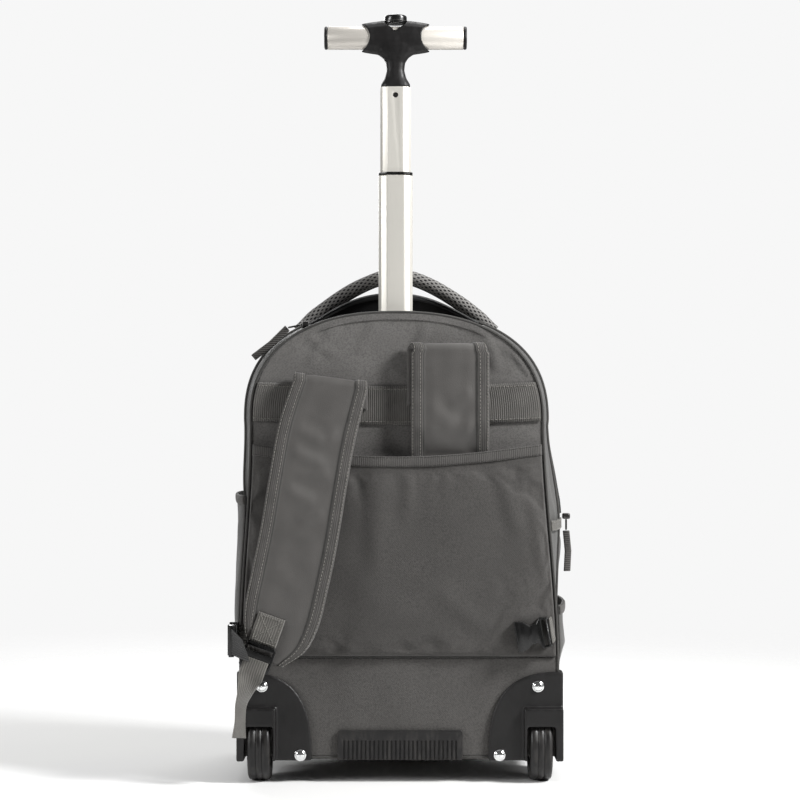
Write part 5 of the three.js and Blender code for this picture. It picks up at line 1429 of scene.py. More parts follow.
@dataclass
class MainBody:
    """The main compartment's shell, filled out between its seams, and its zip."""

    start: float = 47.9
    wall: float = 2.0
    rise: tuple[float, ...] = (0.02, 0.2, 0.4, 0.6, 0.8, 0.93, 1.0)
    crown: tuple[float, ...] = (1.0, 1.0, 0.97, 0.9, 0.74, 0.55, 0.0)
    middle: float = 248.0
    zip_depth: float = 76.0
    zip_width: float = 11.0
    zip_end: float = 262.0
    pressure: float = 3.0
    growth: float = 0.02
    cap: float = 3.0
    creases: tuple[Crease, ...] = (
        Crease((60, 300), (150, 250), 9.0, 2.0),
        Crease((90, 200), (170, 240), 8.0, 1.8),
        Crease((70, 360), (120, 400), 8.0, 2.0),
        Crease((60, 150), (150, 130), 9.0, 1.8),
        Crease((80, 420), (130, 440), 7.0, 1.4),
    )

    def shell(self, shop: Workshop) -> None:
        """Builds the tub of the main compartment."""
        shares = np.concatenate([[0.0, 0.012], np.linspace(0.035, 0.96, 22), [0.985, 1.0]])
        rings = [FORM.ring(self.start, share) for share in shares]
        rim = rings[-1]
        for share in (0.985, 0.96, 0.93, 0.88, 0.8, 0.7, 0.6, 0.5, 0.4, 0.3, 0.2, 0.12, 0.05, 0.015):
            x = FORM.centre_x(self.middle) + (rim[:, 0] - FORM.centre_x(self.middle)) * share
            z = self.middle + (rim[:, 2] - self.middle) * share
            crown = FORM.crown * through(self.rise, self.crown, share)
            rings.append(np.stack([x, FORM.depth(z) + crown + 0 * x, z], -1))
        points = np.stack(rings)
        x, y, z = points[..., 0], points[..., 1], points[..., 2]
        depth_share = np.clip((y - self.start) / (FORM.depth(z) - self.start), 0, 1)
        loose = smooth(depth_share / 0.12) * smooth((1.02 - depth_share) / 0.1) * smooth((z - 70) / 60)
        zipped = (1 - smooth((np.abs(y - self.zip_depth) - 8) / 8)) * smooth((z - self.zip_end + 24) / 12)
        loose = loose * (1 - zipped)
        uneven = 1.3 * drape(y * 1.3, z, 90, 19) + 0.7 * drape(y, z * 0.8, 42, 23)
        side = uneven + folds(self.creases, y, z)
        points[..., 0] += np.where(z < 440, np.sign(x - FORM.centre_x(z)), 0) * loose * side
        points[..., 2] += np.where(z > 440, 1, 0) * loose * 0.8 * drape(x, y, 60, 29)
        front = np.arange(len(points)) >= len(shares)
        points[..., 1] += np.where(front[:, None], 1.2 * drape(x, z, 80, 31), 0)
        well = (np.abs(x) > FORM.well_inner) & (y < FORM.well_front) & (z < FORM.well_top)
        shell = grid("body_shell", points, ring=True, keep=~well)
        held = np.zeros(points.shape[:2])
        held[:2] = 1
        held[len(shares) - 2 :] = 1
        held[well] = 1
        held = np.maximum(held, np.where(z < 45, 0.9, 0))
        held = np.maximum(held, np.where(zipped > 0.3, 1, 0))
        puff(shell, held.ravel(), self.pressure, self.growth, self.cap)
        close(shell, (len(points) - 1) * points.shape[1], points.shape[1])
        fine = shell.modifiers.new("fine", "SUBSURF")
        fine.levels = fine.render_levels = 1
        baked(shell)
        shop.place(shell, "bag", SHADED_BODY_NYLON, ["main_shell"], "nylon")
        thicken(shell, self.wall, -1)
        front_line = even(FORM.ring(self.start, 1.0, -0.6), 2.5)
        shop.place(tube("front_piping", front_line, 1.7, 8, closed=True), "bag", PIPING, slot="tape")

    def zip_at(self, y: float, out: Any) -> Array:
        """The zip's course at a depth, standing off by an amount."""
        ring = FORM.ring(y, 0.0)
        whole = FORM.ring(self.zip_depth, 0.0)
        kept = ring[whole[:, 2] >= self.zip_end]
        run = unit(np.gradient(kept, axis=0))
        normal = np.stack([run[:, 2], 0 * run[:, 0], -run[:, 0]], -1)
        return kept + normal * out

    def zipper(self, shop: Workshop) -> None:
        """Builds the main zip with its coil."""
        across = np.linspace(0, 1, 19)
        rows = []
        for share in across:
            aside = abs(share - 0.5) * self.zip_width
            out = 1.0 + 0.9 * (1 - smooth((aside - 1.2) / 0.9)) + 0.5 * (1 - smooth((aside - 4.2) / 1.2))
            rows.append(self.zip_at(self.zip_depth + (share - 0.5) * self.zip_width, out))
        points = np.stack(rows, 1)
        place = grid("body_zip", points)
        facing(place, (0, 0, 1))
        shop.place(place, "bag", ZIPPER, ["main_zip"], "tape")
        thicken(place, 0.9, -1)

    def end_tab(self, shop: Workshop) -> None:
        """Builds the stitched tab under the zip's right end."""
        u = np.linspace(0, 1, 34)[None, :]
        v = np.linspace(0, 1, 8)[:, None]
        y = lerp(4.3, 70.2, u) + 0 * v
        z = lerp(251.5, 262.0, v) + 0 * u
        x = FORM.side_x(y, z, 1) + 2.3 + 0.3 * drape(y, z, 20, 4)
        tab = grid("end_tab_cloth", np.stack([x, y, z], -1))
        facing(tab, (1, 0, 0))
        shop.place(tab, "bag", WEBBING, ["zip_end_tab"], "nylon")
        thicken(tab, 1.7, -1)
        lines = [np.stack([x[row] + 0.25, y[row], z[row]], -1) for row in (1, 6)]
        sewn = Stitching(2.4, 1.0, 0.26).sew("end_tab_stitches", lines, [np.array([1.0, 0, 0])] * 2)
        shop.place(sewn, "bag", THREAD, slot="nylon")

    def build(self, shop: Workshop) -> None:
        """Builds the main body."""
        self.shell(shop)
        self.zipper(shop)
        self.end_tab(shop)


@dataclass
class SidePocket:
    """An open-topped pocket on one side, bound along its mouth."""

    hand: Hand
    top: float
    foot: float = 118.0
    back: float = 8.0
    length: float = 128.0
    room: float = 7.0
    cloth: float = 1.5
    binding: float = 9.0
    edging: float = 1.4

    def points(self, u: Array, v: Array, extra: Any) -> Array:
        """Places over the pocket, standing out by an extra amount."""
        y = self.back + self.length * u + 0 * v
        z = lerp(self.foot, self.top, v) + 0 * u
        room = self.room * np.sin(math.pi * np.clip(u, 0, 1)) ** 0.5 * smooth(v / 0.3)
        out = 0.6 + room + extra
        x = FORM.side_x(y, z, self.hand.value) + self.hand.value * out
        return np.stack([x, y, z], -1)

    def build(self, shop: Workshop) -> None:
        """Builds the pocket and its binding."""
        side = self.hand.value
        u = np.linspace(0.004, 0.996, 61)[None, :]
        v = np.linspace(0, 1, 41)[:, None]
        y, z = self.back + self.length * u, lerp(self.foot, self.top, v)
        loose = smooth(u / 0.12) * smooth((1 - u) / 0.12) * smooth(v / 0.1) * smooth((1 - v) / 0.08)
        uneven = 0.8 * drape(y, z, 50, 40 + side) * loose
        panel = grid(f"side_pocket_cloth_{self.hand.label}", self.points(u, v, self.cloth + uneven))
        facing(panel, (side, 0, 0))
        foot = 1 - self.binding / (self.top - self.foot)
        edge_v = np.linspace(foot, 1.004, 9)[:, None]
        crowned = self.edging * (0.45 + 0.55 * np.sin(math.pi * (edge_v - foot) / (1 - foot)) ** 0.5)
        rim = grid(
            f"side_pocket_binding_{self.hand.label}",
            self.points(u, edge_v, self.cloth + 0.5 + np.nan_to_num(crowned)),
        )
        facing(rim, (side, 0, 0))
        shop.place(panel, "bag", SHADED_BODY_NYLON, [f"side_pocket_{self.hand.label}"], "nylon")
        shop.place(rim, "bag", BINDING, [f"side_binding_{self.hand.label}"], "webbing")
        thicken(panel, self.cloth, -1)
        thicken(rim, 1.5, -1)


@dataclass
class StrapPocket:
    """The pocket on the back that takes the straps, with its bound mouth."""

    foot: float = 126.3
    top: float = 338.0
    sag: float = 12.0
    room: float = 9.5
    cloth: float = 1.5
    edging: float = 1.4
    binding: float = 10.0
    pressure: float = 3.0
    growth: float = 0.03
    cap: float = 3.0
    creases: tuple[Crease, ...] = (
        Crease((-20, 322), (-24, 200), 9.0, 1.4),
        Crease((96, 326), (120, 240), 8.0, 1.5),
        Crease((-60, 150), (20, 180), 10.0, 1.2),
        Crease((90, 150), (30, 200), 9.0, 1.1),
        Crease((130, 300), (146, 190), 6.0, 1.2),
        Crease((10, 320), (6, 250), 7.0, 1.0),
    )

    def span(self, u: Array, z: Array) -> Array:
        """Places across the back."""
        half = FORM.half_width(z) - 1
        return FORM.centre_x(z) + lerp(-half, half, u)

    def points(self, u: Array, v: Array, extra: Any) -> Array:
        """Places over the pocket, standing off by an extra amount."""
        z = lerp(self.foot, self.top - self.sag * np.sin(math.pi * u), v)
        swell = np.clip(np.sin(math.pi * u), 0, 1) ** 0.3
        swell = swell * np.clip(np.sin(math.pi / 2 * np.clip(v, 0, 1)), 0, 1) ** 0.3
        return np.stack([self.span(u, z), -0.3 - self.room * swell - extra + 0 * z, z], -1)

    def build(self, shop: Workshop) -> None:
        """Builds the pocket, its binding and stitches."""
        ease = np.linspace(0, 1, 111)
        u = lerp(ease, 0.5 - 0.5 * np.cos(math.pi * ease), 0.6)[None, :]
        v = np.linspace(0, 1, 74)[:, None]
        flat = self.points(u, v, 0.0)
        loose = smooth(u / 0.06) * smooth((1 - u) / 0.06) * smooth(v / 0.08) * smooth((1.03 - v) / 0.12)
        x, z = flat[..., 0], flat[..., 2]
        uneven = folds(self.creases, x, z) + 0.9 * drape(x, z, 75, 13)
        points = self.points(u, v, self.cloth + loose * uneven)
        pocket = grid("strap_pocket_cloth", points)
        facing(pocket, (0, -1, 0))
        held = np.zeros(points.shape[:2])
        held[:2] = held[-7:] = 1
        held[:, :2] = held[:, -2:] = 1
        puff(pocket, held.ravel(), self.pressure, self.growth, self.cap)
        # The pocket's nylon is darker as painted shade.
        shop.place(pocket, "bag", SHADED_POCKET_NYLON, ["strap_pocket"], "nylon")
        height = self.top - self.sag * np.sin(math.pi * u) - self.foot
        foot = 1 - self.binding / height
        t = np.linspace(0, 1, 11)[:, None]
        crowned = self.edging * (0.4 + 0.6 * np.sin(math.pi * t) ** 0.4)
        rim_points = self.points(u, lerp(foot, 1.004, t), self.cloth + 0.4 + crowned)
        rim = grid("strap_pocket_binding", rim_points)
        facing(rim, (0, -1, 0))
        shop.place(rim, "bag", BINDING, ["pocket_binding"], "webbing")
        thicken(pocket, self.cloth, -1)
        thicken(rim, 1.5, -1)
        fine = pocket.modifiers.new("fine", "SUBSURF")
        fine.levels = fine.render_levels = 1
        lines = [even(rim_points[row] + np.array([0, -0.25, 0]), 1.0) for row in (1, 9)]
        sewn = Stitching(2.4, 1.0, 0.27).sew("pocket_stitches", lines, [REAR] * 2)
        shop.place(sewn, "bag", DARK_THREAD, slot="webbing")


@dataclass
class WebbingBand:
    """The broad webbing over the back that the straps are sewn to."""

    top: float = 401.0
    width: float = 39.0
    sag: float = 4.0
    thick: float = 1.3
    gap: float = 0.3

    def build(self, shop: Workshop) -> None:
        """Builds the band and the stitches along its edges."""
        u = np.linspace(0, 1, 161)[None, :]
        v = np.linspace(0, 1, 13)[:, None]
        z = self.top - self.width * v - self.sag * np.sin(math.pi * u)
        half = FORM.half_width(z) - 1
        x = FORM.centre_x(z) + lerp(-half, half, u)
        rolled = 0.5 * (1 - smooth(np.minimum(v, 1 - v) / 0.1))
        y = -self.gap - self.thick + rolled + 0 * u
        band = grid("back_band", np.stack([x, y, z], -1))
        facing(band, (0, -1, 0))
        shop.place(band, "bag", BAND, ["webbing_band"], "webbing")
        thicken(band, self.thick - 0.2, -1)
        lines = [np.stack([x[row], y[row] - 0.2, z[row]], -1) for row in (1, 11)]
        lines = [even(line, 1.0) for line in lines]
        sewn = Stitching(2.6, 1.0, 0.3).sew("band_stitches", lines, [REAR] * 2)
        shop.place(sewn, "bag", THREAD, slot="webbing")


# Straps and handle


@dataclass
class StrapCut:
    """A padded strap's section: smooth middle, piped and bound edges."""

    width: float = 78.0
    thick: float = 7.0
    ply: float = 5.0
    edge: ClassVar[Array] = np.array(
        [-1.0, -0.995, -0.975, -0.94, -0.88, -0.8, -0.74, -0.712, -0.7, -0.685, -0.67, -0.655, -0.64]
    )
    places: ClassVar[Array] = np.concatenate([edge, np.linspace(-0.6, 0.6, 25), -edge[::-1]])

    def relief(self, creases: Sequence[Crease], seed: int) -> Callable[[Array, Array], Array]:
        """Height of the outer face: padding, piping and raised bindings.

        Args:
            creases: Folds, from millimetres across and along.
            seed: Number that picks the unevenness.

        Returns:
            The height as a function of millimetres across and along.
        """

        def height(x: Array, s: Array) -> Array:
            share = np.abs(self.places)[None, :] + 0 * x
            inside = smooth((0.7 - share) / 0.3)
            pad = -0.9 + 0.7 * inside + (0.45 * drape(x, s, 34, seed) + folds(creases, x, s)) * inside
            bound = 0.1 + 0.5 * np.sin(math.pi * np.clip((share - 0.7) / 0.3, 0, 1)) ** 0.5
            bound = bound + 0.25 * drape(x * 2, s, 16, seed + 1)
            cord = 0.9 * bump_at(share, 0.677, 0.016)
            return np.where(share >= 0.7, bound, pad) + cord

        return height

    def build(
        self,
        name: str,
        shop: Workshop,
        node: str,
        stations: Mapping[str, Array],
        creases: Sequence[Crease],
        seed: int,
    ) -> None:
        """Builds a strap with its stitches.

        Args:
            name: The piece's name.
            shop: Where the pieces go.
            node: The solid that it replaces.
            stations: Its route, with directions, widths and thicknesses.
            creases: Folds on its outer face.
            seed: Number that picks the unevenness.
        """
        at, across, out = stations["at"], stations["across"], stations["out"]
        narrow, deep = stations["narrow"], stations["deep"]
        wide = self.width * narrow
        strap = ribbon(name, at, across, out, wide, deep, self.places, self.relief(creases, seed))
        columns = 2 * len(self.places)
        share = np.abs(np.concatenate([self.places, self.places[::-1]]))
        middle = (share + np.roll(share, -1)) / 2
        kind = np.where(middle > 0.7, 1, np.where(middle > 0.655, 2, 0))
        kind[len(self.places) :] = np.where(middle[len(self.places) :] > 0.7, 1, 0)
        numbers = [int(kind[i % columns]) for i in range((len(at) - 1) * columns)] + [1, 1]
        shop.place(strap, "bag", [COATED, BINDING, PIPING], [node], "coated")
        strap.data.polygons.foreach_set("material_index", numbers[: len(strap.data.polygons)])
        runs, aways = [], []
        for edge in (-0.955, -0.76, 0.76, 0.955):
            line = at + across * (wide * edge / 2)[:, None] + out * (deep + 0.42)[:, None]
            runs.append(line)
            aways.append(out)
        sewn = Stitching(2.5, 1.1, 0.32).sew(f"{name}_stitches", runs, aways)
        shop.place(sewn, "bag", THREAD, slot="coated")


@dataclass
class Straps:
    """The two shoulder straps, sewn to the band, folded over and hanging."""

    cut: StrapCut = field(default_factory=StrapCut)
    sewn: float = 377.5
    back: float = -6.9
    front: float = -10.0
    left_top: float = 407.0
    right_top: float = 441.0
    length: float = 283.0
    right_x: float = 50.0
    stand: float = 12.0
    tuck: float = 34.0
    mouth: float = 326.0
    slip: float = 6.0
    along: ClassVar[tuple[float, ...]] = (0, 0.17, 0.35, 0.55, 0.7, 0.85, 0.93, 1)
    left_x: ClassVar[tuple[float, ...]] = (-69, -82, -91, -100, -108.5, -118, -124, -132)
    left_lean: ClassVar[tuple[float, ...]] = (0.12, 0.22, 0.17, 0.19, 0.24, 0.32, 0.34, 0.36)
    left_stand: ClassVar[tuple[float, ...]] = (0, 0.45, 0.8, 1, 1, 0.95, 0.9, 0.85)
    left_narrow: ClassVar[tuple[float, ...]] = (0.96, 1, 1, 1, 1, 0.96, 0.8, 0.42)

    @property
    def fold(self) -> float:
        """Radius of the folded strap's inner face."""
        return (self.front - self.back) / -2

    def fold_height(self, top: float) -> float:
        """Height of the fold's middle under its crest."""
        return top - self.cut.thick - self.fold

    def fold_stations(self, x: float, lean: float, top: float, slip: float) -> dict[str, Array]:
        """The sewn ply and the fold.

        Args:
            x: Place across of the strap's middle.
            lean: Slope of the strap's width.
            top: Height of the fold's crest.
            slip: How far the sewn ply lies to the left of the fold.

        Returns:
            Route, directions, widths and thicknesses.
        """
        z_fold = self.fold_height(top)
        ply = np.linspace(self.sewn, z_fold, 10, endpoint=False)
        turn = np.linspace(0, math.pi, 21)
        middle = (self.back + self.front) / 2
        share = np.concatenate([0 * ply, turn / math.pi])
        out_y = np.concatenate([0 * ply + 1, np.cos(turn)])
        out_z = np.concatenate([0 * ply, np.sin(turn)])
        out = np.stack([0 * out_y, out_y, out_z], -1)
        radius = self.fold
        y = middle + radius * out_y
        z = np.concatenate([ply, z_fold + radius * np.sin(turn)])
        at = np.stack([x - slip * (1 - smooth(share)), y, z], -1)
        across = np.broadcast_to(unit(np.array([1.0, 0, -lean])), at.shape)
        return {
            "at": at,
            "across": across,
            "out": out,
            "narrow": 0.95 + 0 * share,
            "deep": lerp(self.cut.ply, self.cut.thick, share),
        }

    def left_course(self, along: Any) -> dict[str, Array]:
        """The left strap below its fold, at shares of its length."""
        s = np.atleast_1d(np.asarray(along, float))
        z = lerp(self.fold_height(self.left_top), self.left_top - self.length, s)
        y = self.front - self.stand * through(self.along, self.left_stand, s)
        lean = through(self.along, self.left_lean, s)
        return {
            "at": np.stack([through(self.along, self.left_x, s), y, z], -1),
            "across": unit(np.stack([1 + 0 * lean, 0 * lean, -lean], -1)),
            "out": np.broadcast_to(REAR, (len(s), 3)),
            "narrow": through(self.along, self.left_narrow, s),
            "deep": self.cut.thick + 0 * s,
        }

    def right_course(self) -> dict[str, Array]:
        """The right strap below its fold, tucked into the pocket."""
        s = np.linspace(0.012, 1, 96)
        z = lerp(self.fold_height(self.right_top), self.right_top - self.length, s)
        tucked = smooth((self.mouth + self.tuck - z) / self.tuck)
        at = np.stack([self.right_x + 0 * z, lerp(self.front, -0.3, tucked), z], -1)
        across = np.broadcast_to(np.array([1.0, 0, 0]), at.shape)
        deep = lerp(self.cut.thick, self.cut.ply, tucked)
        out = np.broadcast_to(REAR, at.shape)
        return {"at": at, "across": across, "out": out, "narrow": 1 + 0 * z, "deep": deep}

    def build(self, shop: Workshop) -> None:
        """Builds both straps."""
        def joined(first: dict[str, Array], second: dict[str, Array]) -> dict[str, Array]:
            return {key: np.concatenate([first[key], second[key]]) for key in first}

        left = joined(
            self.fold_stations(-69, 0.12, self.left_top, 0.0),
            self.left_course(np.linspace(0.012, 1, 110)),
        )
        left_creases = (
            Crease((-26, 74), (12, 84), 6.5, 1.2),
            Crease((26, 70), (-16, 92), 7.5, 1.1),
            Crease((-27, 96), (20, 108), 7.0, 1.5),
            Crease((27, 112), (-20, 124), 7.0, 1.3),
            Crease((-27, 132), (16, 150), 7.5, 1.4),
            Crease((26, 150), (-8, 168), 7.5, 1.2),
            Crease((-26, 172), (22, 184), 8.5, 1.0),
            Crease((-24, 214), (18, 236), 9.5, 0.9),
            Crease((24, 250), (-12, 268), 8.5, 0.9),
        )
        self.cut.build("left_strap", shop, "strap_left", left, left_creases, 51)
        fold = self.fold_stations(self.right_x, 0.0, self.right_top, self.slip)
        right = joined(fold, self.right_course())
        right_creases = (
            Crease((26, 100), (-4, 122), 7.5, 1.3),
            Crease((-26, 112), (8, 146), 8.5, 1.1),
            Crease((27, 128), (2, 160), 7.5, 1.2),
            Crease((-24, 150), (22, 168), 7.5, 0.9),
        )
        self.cut.build("right_strap", shop, "strap_right", right, right_creases, 61)


@dataclass
class Adjuster:
    """Patch, ladder lock, webbing and tail at the left strap's lower end."""

    straps: Straps
    patch_x: float = -131.0
    patch_z: float = 156.0
    patch_width: float = 28.0
    patch_length: float = 30.0
    patch_thick: float = 1.5
    lock_height: float = 27.0
    lock_thick: float = 3.6
    webbing: float = 25.0
    thick: float = 1.5
    tail_length: float = 80.0
    buckle_x: float = -165.0
    buckle_z: float = 147.0
    bar_y: float = -52.4

    @property
    def lean(self) -> float:
        """Angle by which the patch leans, in radians."""
        return math.atan(0.36)

    def directions(self) -> tuple[Array, Array]:
        """The patch's own directions across and down."""
        cos, sin = math.cos(self.lean), math.sin(self.lean)
        return np.array([cos, 0, -sin]), np.array([-sin, 0, -cos])

    def patch(self, shop: Workshop) -> float:
        """Builds the sewn patch with its crossed stitches, and returns the depth of its middle."""
        seat = float(self.straps.left_course(0.82)["at"][0, 1]) - 7.0
        middle_y = seat - 0.3 - self.patch_thick / 2
        across, down = self.directions()
        steps = np.linspace(-0.5, 0.5, 15)
        a, d = steps[None, :, None] * self.patch_width, steps[:, None, None] * self.patch_length
        centre = np.array([self.patch_x, middle_y, self.patch_z])
        edge = np.maximum(np.abs(a) / self.patch_width, np.abs(d) / self.patch_length)
        rolled = 0.45 * smooth((edge - 0.42) / 0.08)
        points = centre + a * across + d * down + np.array([0, -0.75, 0]) * (1 - rolled)
        piece = grid("sewn_patch", points)
        facing(piece, (0, -1, 0))
        shop.place(piece, "bag", WEBBING, ["strap_patch"], "webbing")
        thicken(piece, self.patch_thick - 0.2, -1)
        lift = np.array([0, -0.95, 0])

        def at(x: float, y: float) -> Array:
            return centre + lift + x * across + y * down

        w, h = self.patch_width / 2 - 2.6, self.patch_length / 2 - 2.6
        box = [at(-w, -h), at(w, -h), at(w, h), at(-w, h), at(-w, -h)]
        runs = [even(np.array([box[i], box[i + 1]]), 0.8) for i in range(4)]
        runs += [even(np.array([at(-w, -h), at(w, h)]), 0.8), even(np.array([at(w, -h), at(-w, h)]), 0.8)]
        sewn = Stitching(2.2, 0.7, 0.33).sew("patch_stitches", runs, [REAR] * 6)
        shop.place(sewn, "bag", THREAD, slot="webbing")
        return middle_y

    def strip(
        self, name: str, shop: Workshop, node: str, knots: Array, across: Array, hint: Array, finish: Finish
    ) -> None:
        """Builds a strip of webbing along a few places.

        Args:
            name: The piece's name.
            shop: Where the piece goes.
            node: The solid that it replaces.
            knots: Places on its inner face.
            across: Directions over it, at those places.
            hint: Rough directions off it.
            finish: Its finish.
        """
        share = np.linspace(0, 1, len(knots))
        fine = np.linspace(0, 1, 70)
        at = np.stack([through(share, knots[:, i], fine) for i in range(3)], -1)
        wide = unit(np.stack([through(share, across[:, i], fine) for i in range(3)], -1))
        rough = np.stack([through(share, hint[:, i], fine) for i in range(3)], -1)
        piece = ribbon(name, at, wide, squared(at, wide, rough), self.webbing, self.thick)
        shop.place(piece, "bag", finish, [node], "webbing")

    def build(self, shop: Workshop) -> None:
        """Builds the adjuster."""
        patch_y = self.patch(shop)
        across, down = self.directions()
        step = self.patch_length / 2 + 0.3 + self.lock_height / 2
        centre = np.array([self.patch_x, 0, self.patch_z]) + step * down
        lock_y = patch_y + self.patch_thick / 2 - self.lock_thick / 2
        front = lock_y - self.lock_thick / 2 - 0.3
        middle = np.array([centre[0], front, centre[2]])
        Moulding("ladder_lock", "strap_lock", "bag", GLOSS, "gloss", 0.8, merge=False).build(shop)
        drops, xs = (0.32, 0.45, 0.6, 0.8, 1.0), (-9, -13, -17, -18, -19)
        ys, turns = (1, 3, 5, 6, 7), (38, 56, 66, 68, 60)
        knots = [middle + down * self.lock_height * 0.06, middle + down * self.lock_height * 0.6]
        wides, outs = [across, across], [REAR, REAR]
        for drop, x, y, turn in zip(drops, xs, ys, turns):
            angle = math.radians(turn)
            knots.append(np.array([middle[0] + x, front + y, middle[2] - drop * self.tail_length]))
            wides.append(unit(np.array([math.cos(angle), math.sin(angle), -0.3 * math.cos(angle)])))
            outs.append(np.array([math.sin(angle), -math.cos(angle), 0]))
        at, wide, out = np.array(knots), np.array(wides), np.array(outs)
        self.strip("tail_webbing", shop, "strap_tail", at, wide, out, WEBBING)
        shares, bulge, turns = (0, 0.25, 0.5, 0.75, 1.0), (0, 0.6, 1.0, 0.8, 0), (0, 4, 9, 15, 20)
        start = np.array([self.buckle_x, self.bar_y, self.buckle_z])
        end = middle - down * self.lock_height * 0.1 - across * 14.0
        knots, wides = [], []
        for share, out, turn in zip(shares, bulge, turns):
            knots.append(lerp(start, end, share) - np.array([0, out, 0]))
            wides.append(np.array([-math.sin(math.radians(turn)), 0, math.cos(math.radians(turn))]))
        outs = np.broadcast_to(REAR, (len(knots), 3))
        at, wide = np.array(knots), np.array(wides)
        # The loop's webbing is painted nearly black as shade.
        self.strip("loop_webbing", shop, "adjuster_webbing", at, wide, outs, SHADED_WEBBING)


@dataclass
class Handle:
    """The padded carrying handle on the top."""

    middle: float = -4.0
    span: float = 187.0
    top: float = 511.5
    rise: float = 51.0
    reach: float = 1.08
    power: float = 1.6
    radius: float = 7.2
    depth: float = 56.0

    def build(self, shop: Workshop) -> None:
        """Builds the handle with the taped seam on its underside."""
        u = np.linspace(-self.reach, self.reach, 121)
        soft = np.sqrt(u * u + 0.0025)
        z = self.top - self.rise * soft**self.power
        path = np.stack([self.middle + self.span / 2 * u, self.depth + 0 * u, z], -1)
        along, side, out = frames(path, REAR)
        turn = np.linspace(0, 2 * math.pi, 28, endpoint=False)[None, :, None]
        body = self.radius * (1 + 0.03 * drape(path[:, 0], path[:, 2], 30, 71))
        body = body * (1 - 0.18 * smooth((np.abs(u) - 0.9) / 0.15))
        ring = np.cos(turn) * out[:, None] + np.sin(turn) * side[:, None] * 0.96
        points = path[:, None] + body[:, None, None] * ring
        piece = grid("carry_handle", points, ring=True, caps=True)
        shop.place(piece, "bag", MESH, ["grab_handle"], "mesh")
        under = np.where(side[:, 2:] > 0, -side, side)
        seam = even(path + under * (self.radius * 0.97), 2.0)
        cord = tube("handle_seam", seam[3:-3], 1.2, 8)
        shop.place(cord, "bag", PIPING, slot="mesh")


# Hard pieces


@dataclass(frozen=True)
class Moulding:
    """A hard piece that keeps its solid's shape and gets rounded edges."""

    node: str
    name: str
    body: str
    finish: Finish
    slot: str
    edge: float = 0.5
    angle: float = 28.0
    merge: bool = True

    def build(self, shop: Workshop) -> None:
        """Builds the piece."""
        piece = rounded_copy(self.node, self.name, self.edge, self.angle, merge=self.merge)
        shop.place(piece, self.body, self.finish, [self.node], self.slot)


@dataclass
class Buckles:
    """The side-release buckles, their tabs, and the zip pulls."""

    tab_lift: float = 3.4
    webbing: float = 25.0

    def tab(
        self, shop: Workshop, name: str, node: str, ends: Sequence[Sequence[float]], wide: Sequence[float]
    ) -> None:
        """Builds a short tab of webbing between two places.

        Args:
            shop: Where the piece goes.
            name: The piece's name.
            node: The solid that it replaces.
            ends: Its two ends.
            wide: The direction across it.
        """
        path = np.array(ends, float)
        fine = np.stack([np.interp(np.linspace(0, 1, 12), [0, 1], path[:, i]) for i in range(3)], -1)
        run = unit(path[1] - path[0])
        out = unit(np.cross(run, np.array(wide, float)))
        out = out if out[1] < 0 else -out
        across = np.broadcast_to(unit(np.array(wide, float)), fine.shape)
        piece = ribbon(name, fine, across, np.broadcast_to(out, fine.shape), self.webbing, 1.5)
        shop.place(piece, "bag", WEBBING, [node], "webbing")

    def build(self, shop: Workshop) -> None:
        """Builds buckles, tabs and pulls."""
        hard = [
            Moulding("buckle_left_female", "left_clip_socket", "bag", GLOSS, "gloss", 0.9, merge=False),
            Moulding("buckle_left_male", "left_clip_prong", "bag", GLOSS, "gloss", 0.7, merge=False),
            Moulding("buckle_right_female", "right_clip_socket", "bag", GLOSS, "gloss", 1.2, merge=False),
            Moulding("zip_slider_left", "left_slider", "bag", ZINC, "zinc", 1.6),
            Moulding("zip_slider_right", "right_slider", "bag", ZINC, "zinc", 1.6),
            Moulding("zip_link_left", "left_pull_link", "bag", ZINC, "zinc", 0.5),
            Moulding("zip_link_right", "right_pull_link", "bag", ZINC, "zinc", 0.5),
            Moulding("zip_tag_left", "left_pull_tag", "bag", TAG, "rubber", 0.7),
            Moulding("zip_tag_right", "right_pull_tag", "bag", TAG, "rubber", 0.7),
        ]
        for piece in hard:
            piece.build(shop)
        tilt = 0.17
        wide = (math.sin(tilt), 0, -math.cos(tilt))
        seam_right = float(FORM.centre_x(153.0) + FORM.half_width(153.0))
        seam_left = float(FORM.centre_x(147.0) - FORM.half_width(147.0))
        right = [(seam_right - 4, -self.tab_lift, 155.0), (149.3, -13 + 0.75, 153.0)]
        left = [(seam_left + 5, -self.tab_lift, 147.0), (-165.0, -1.9, 147.0)]
        self.tab(shop, "right_clip_tab", "buckle_tab_right", right, wide)
        self.tab(shop, "left_clip_tab", "buckle_tab_left", left, (0, 0, 1))


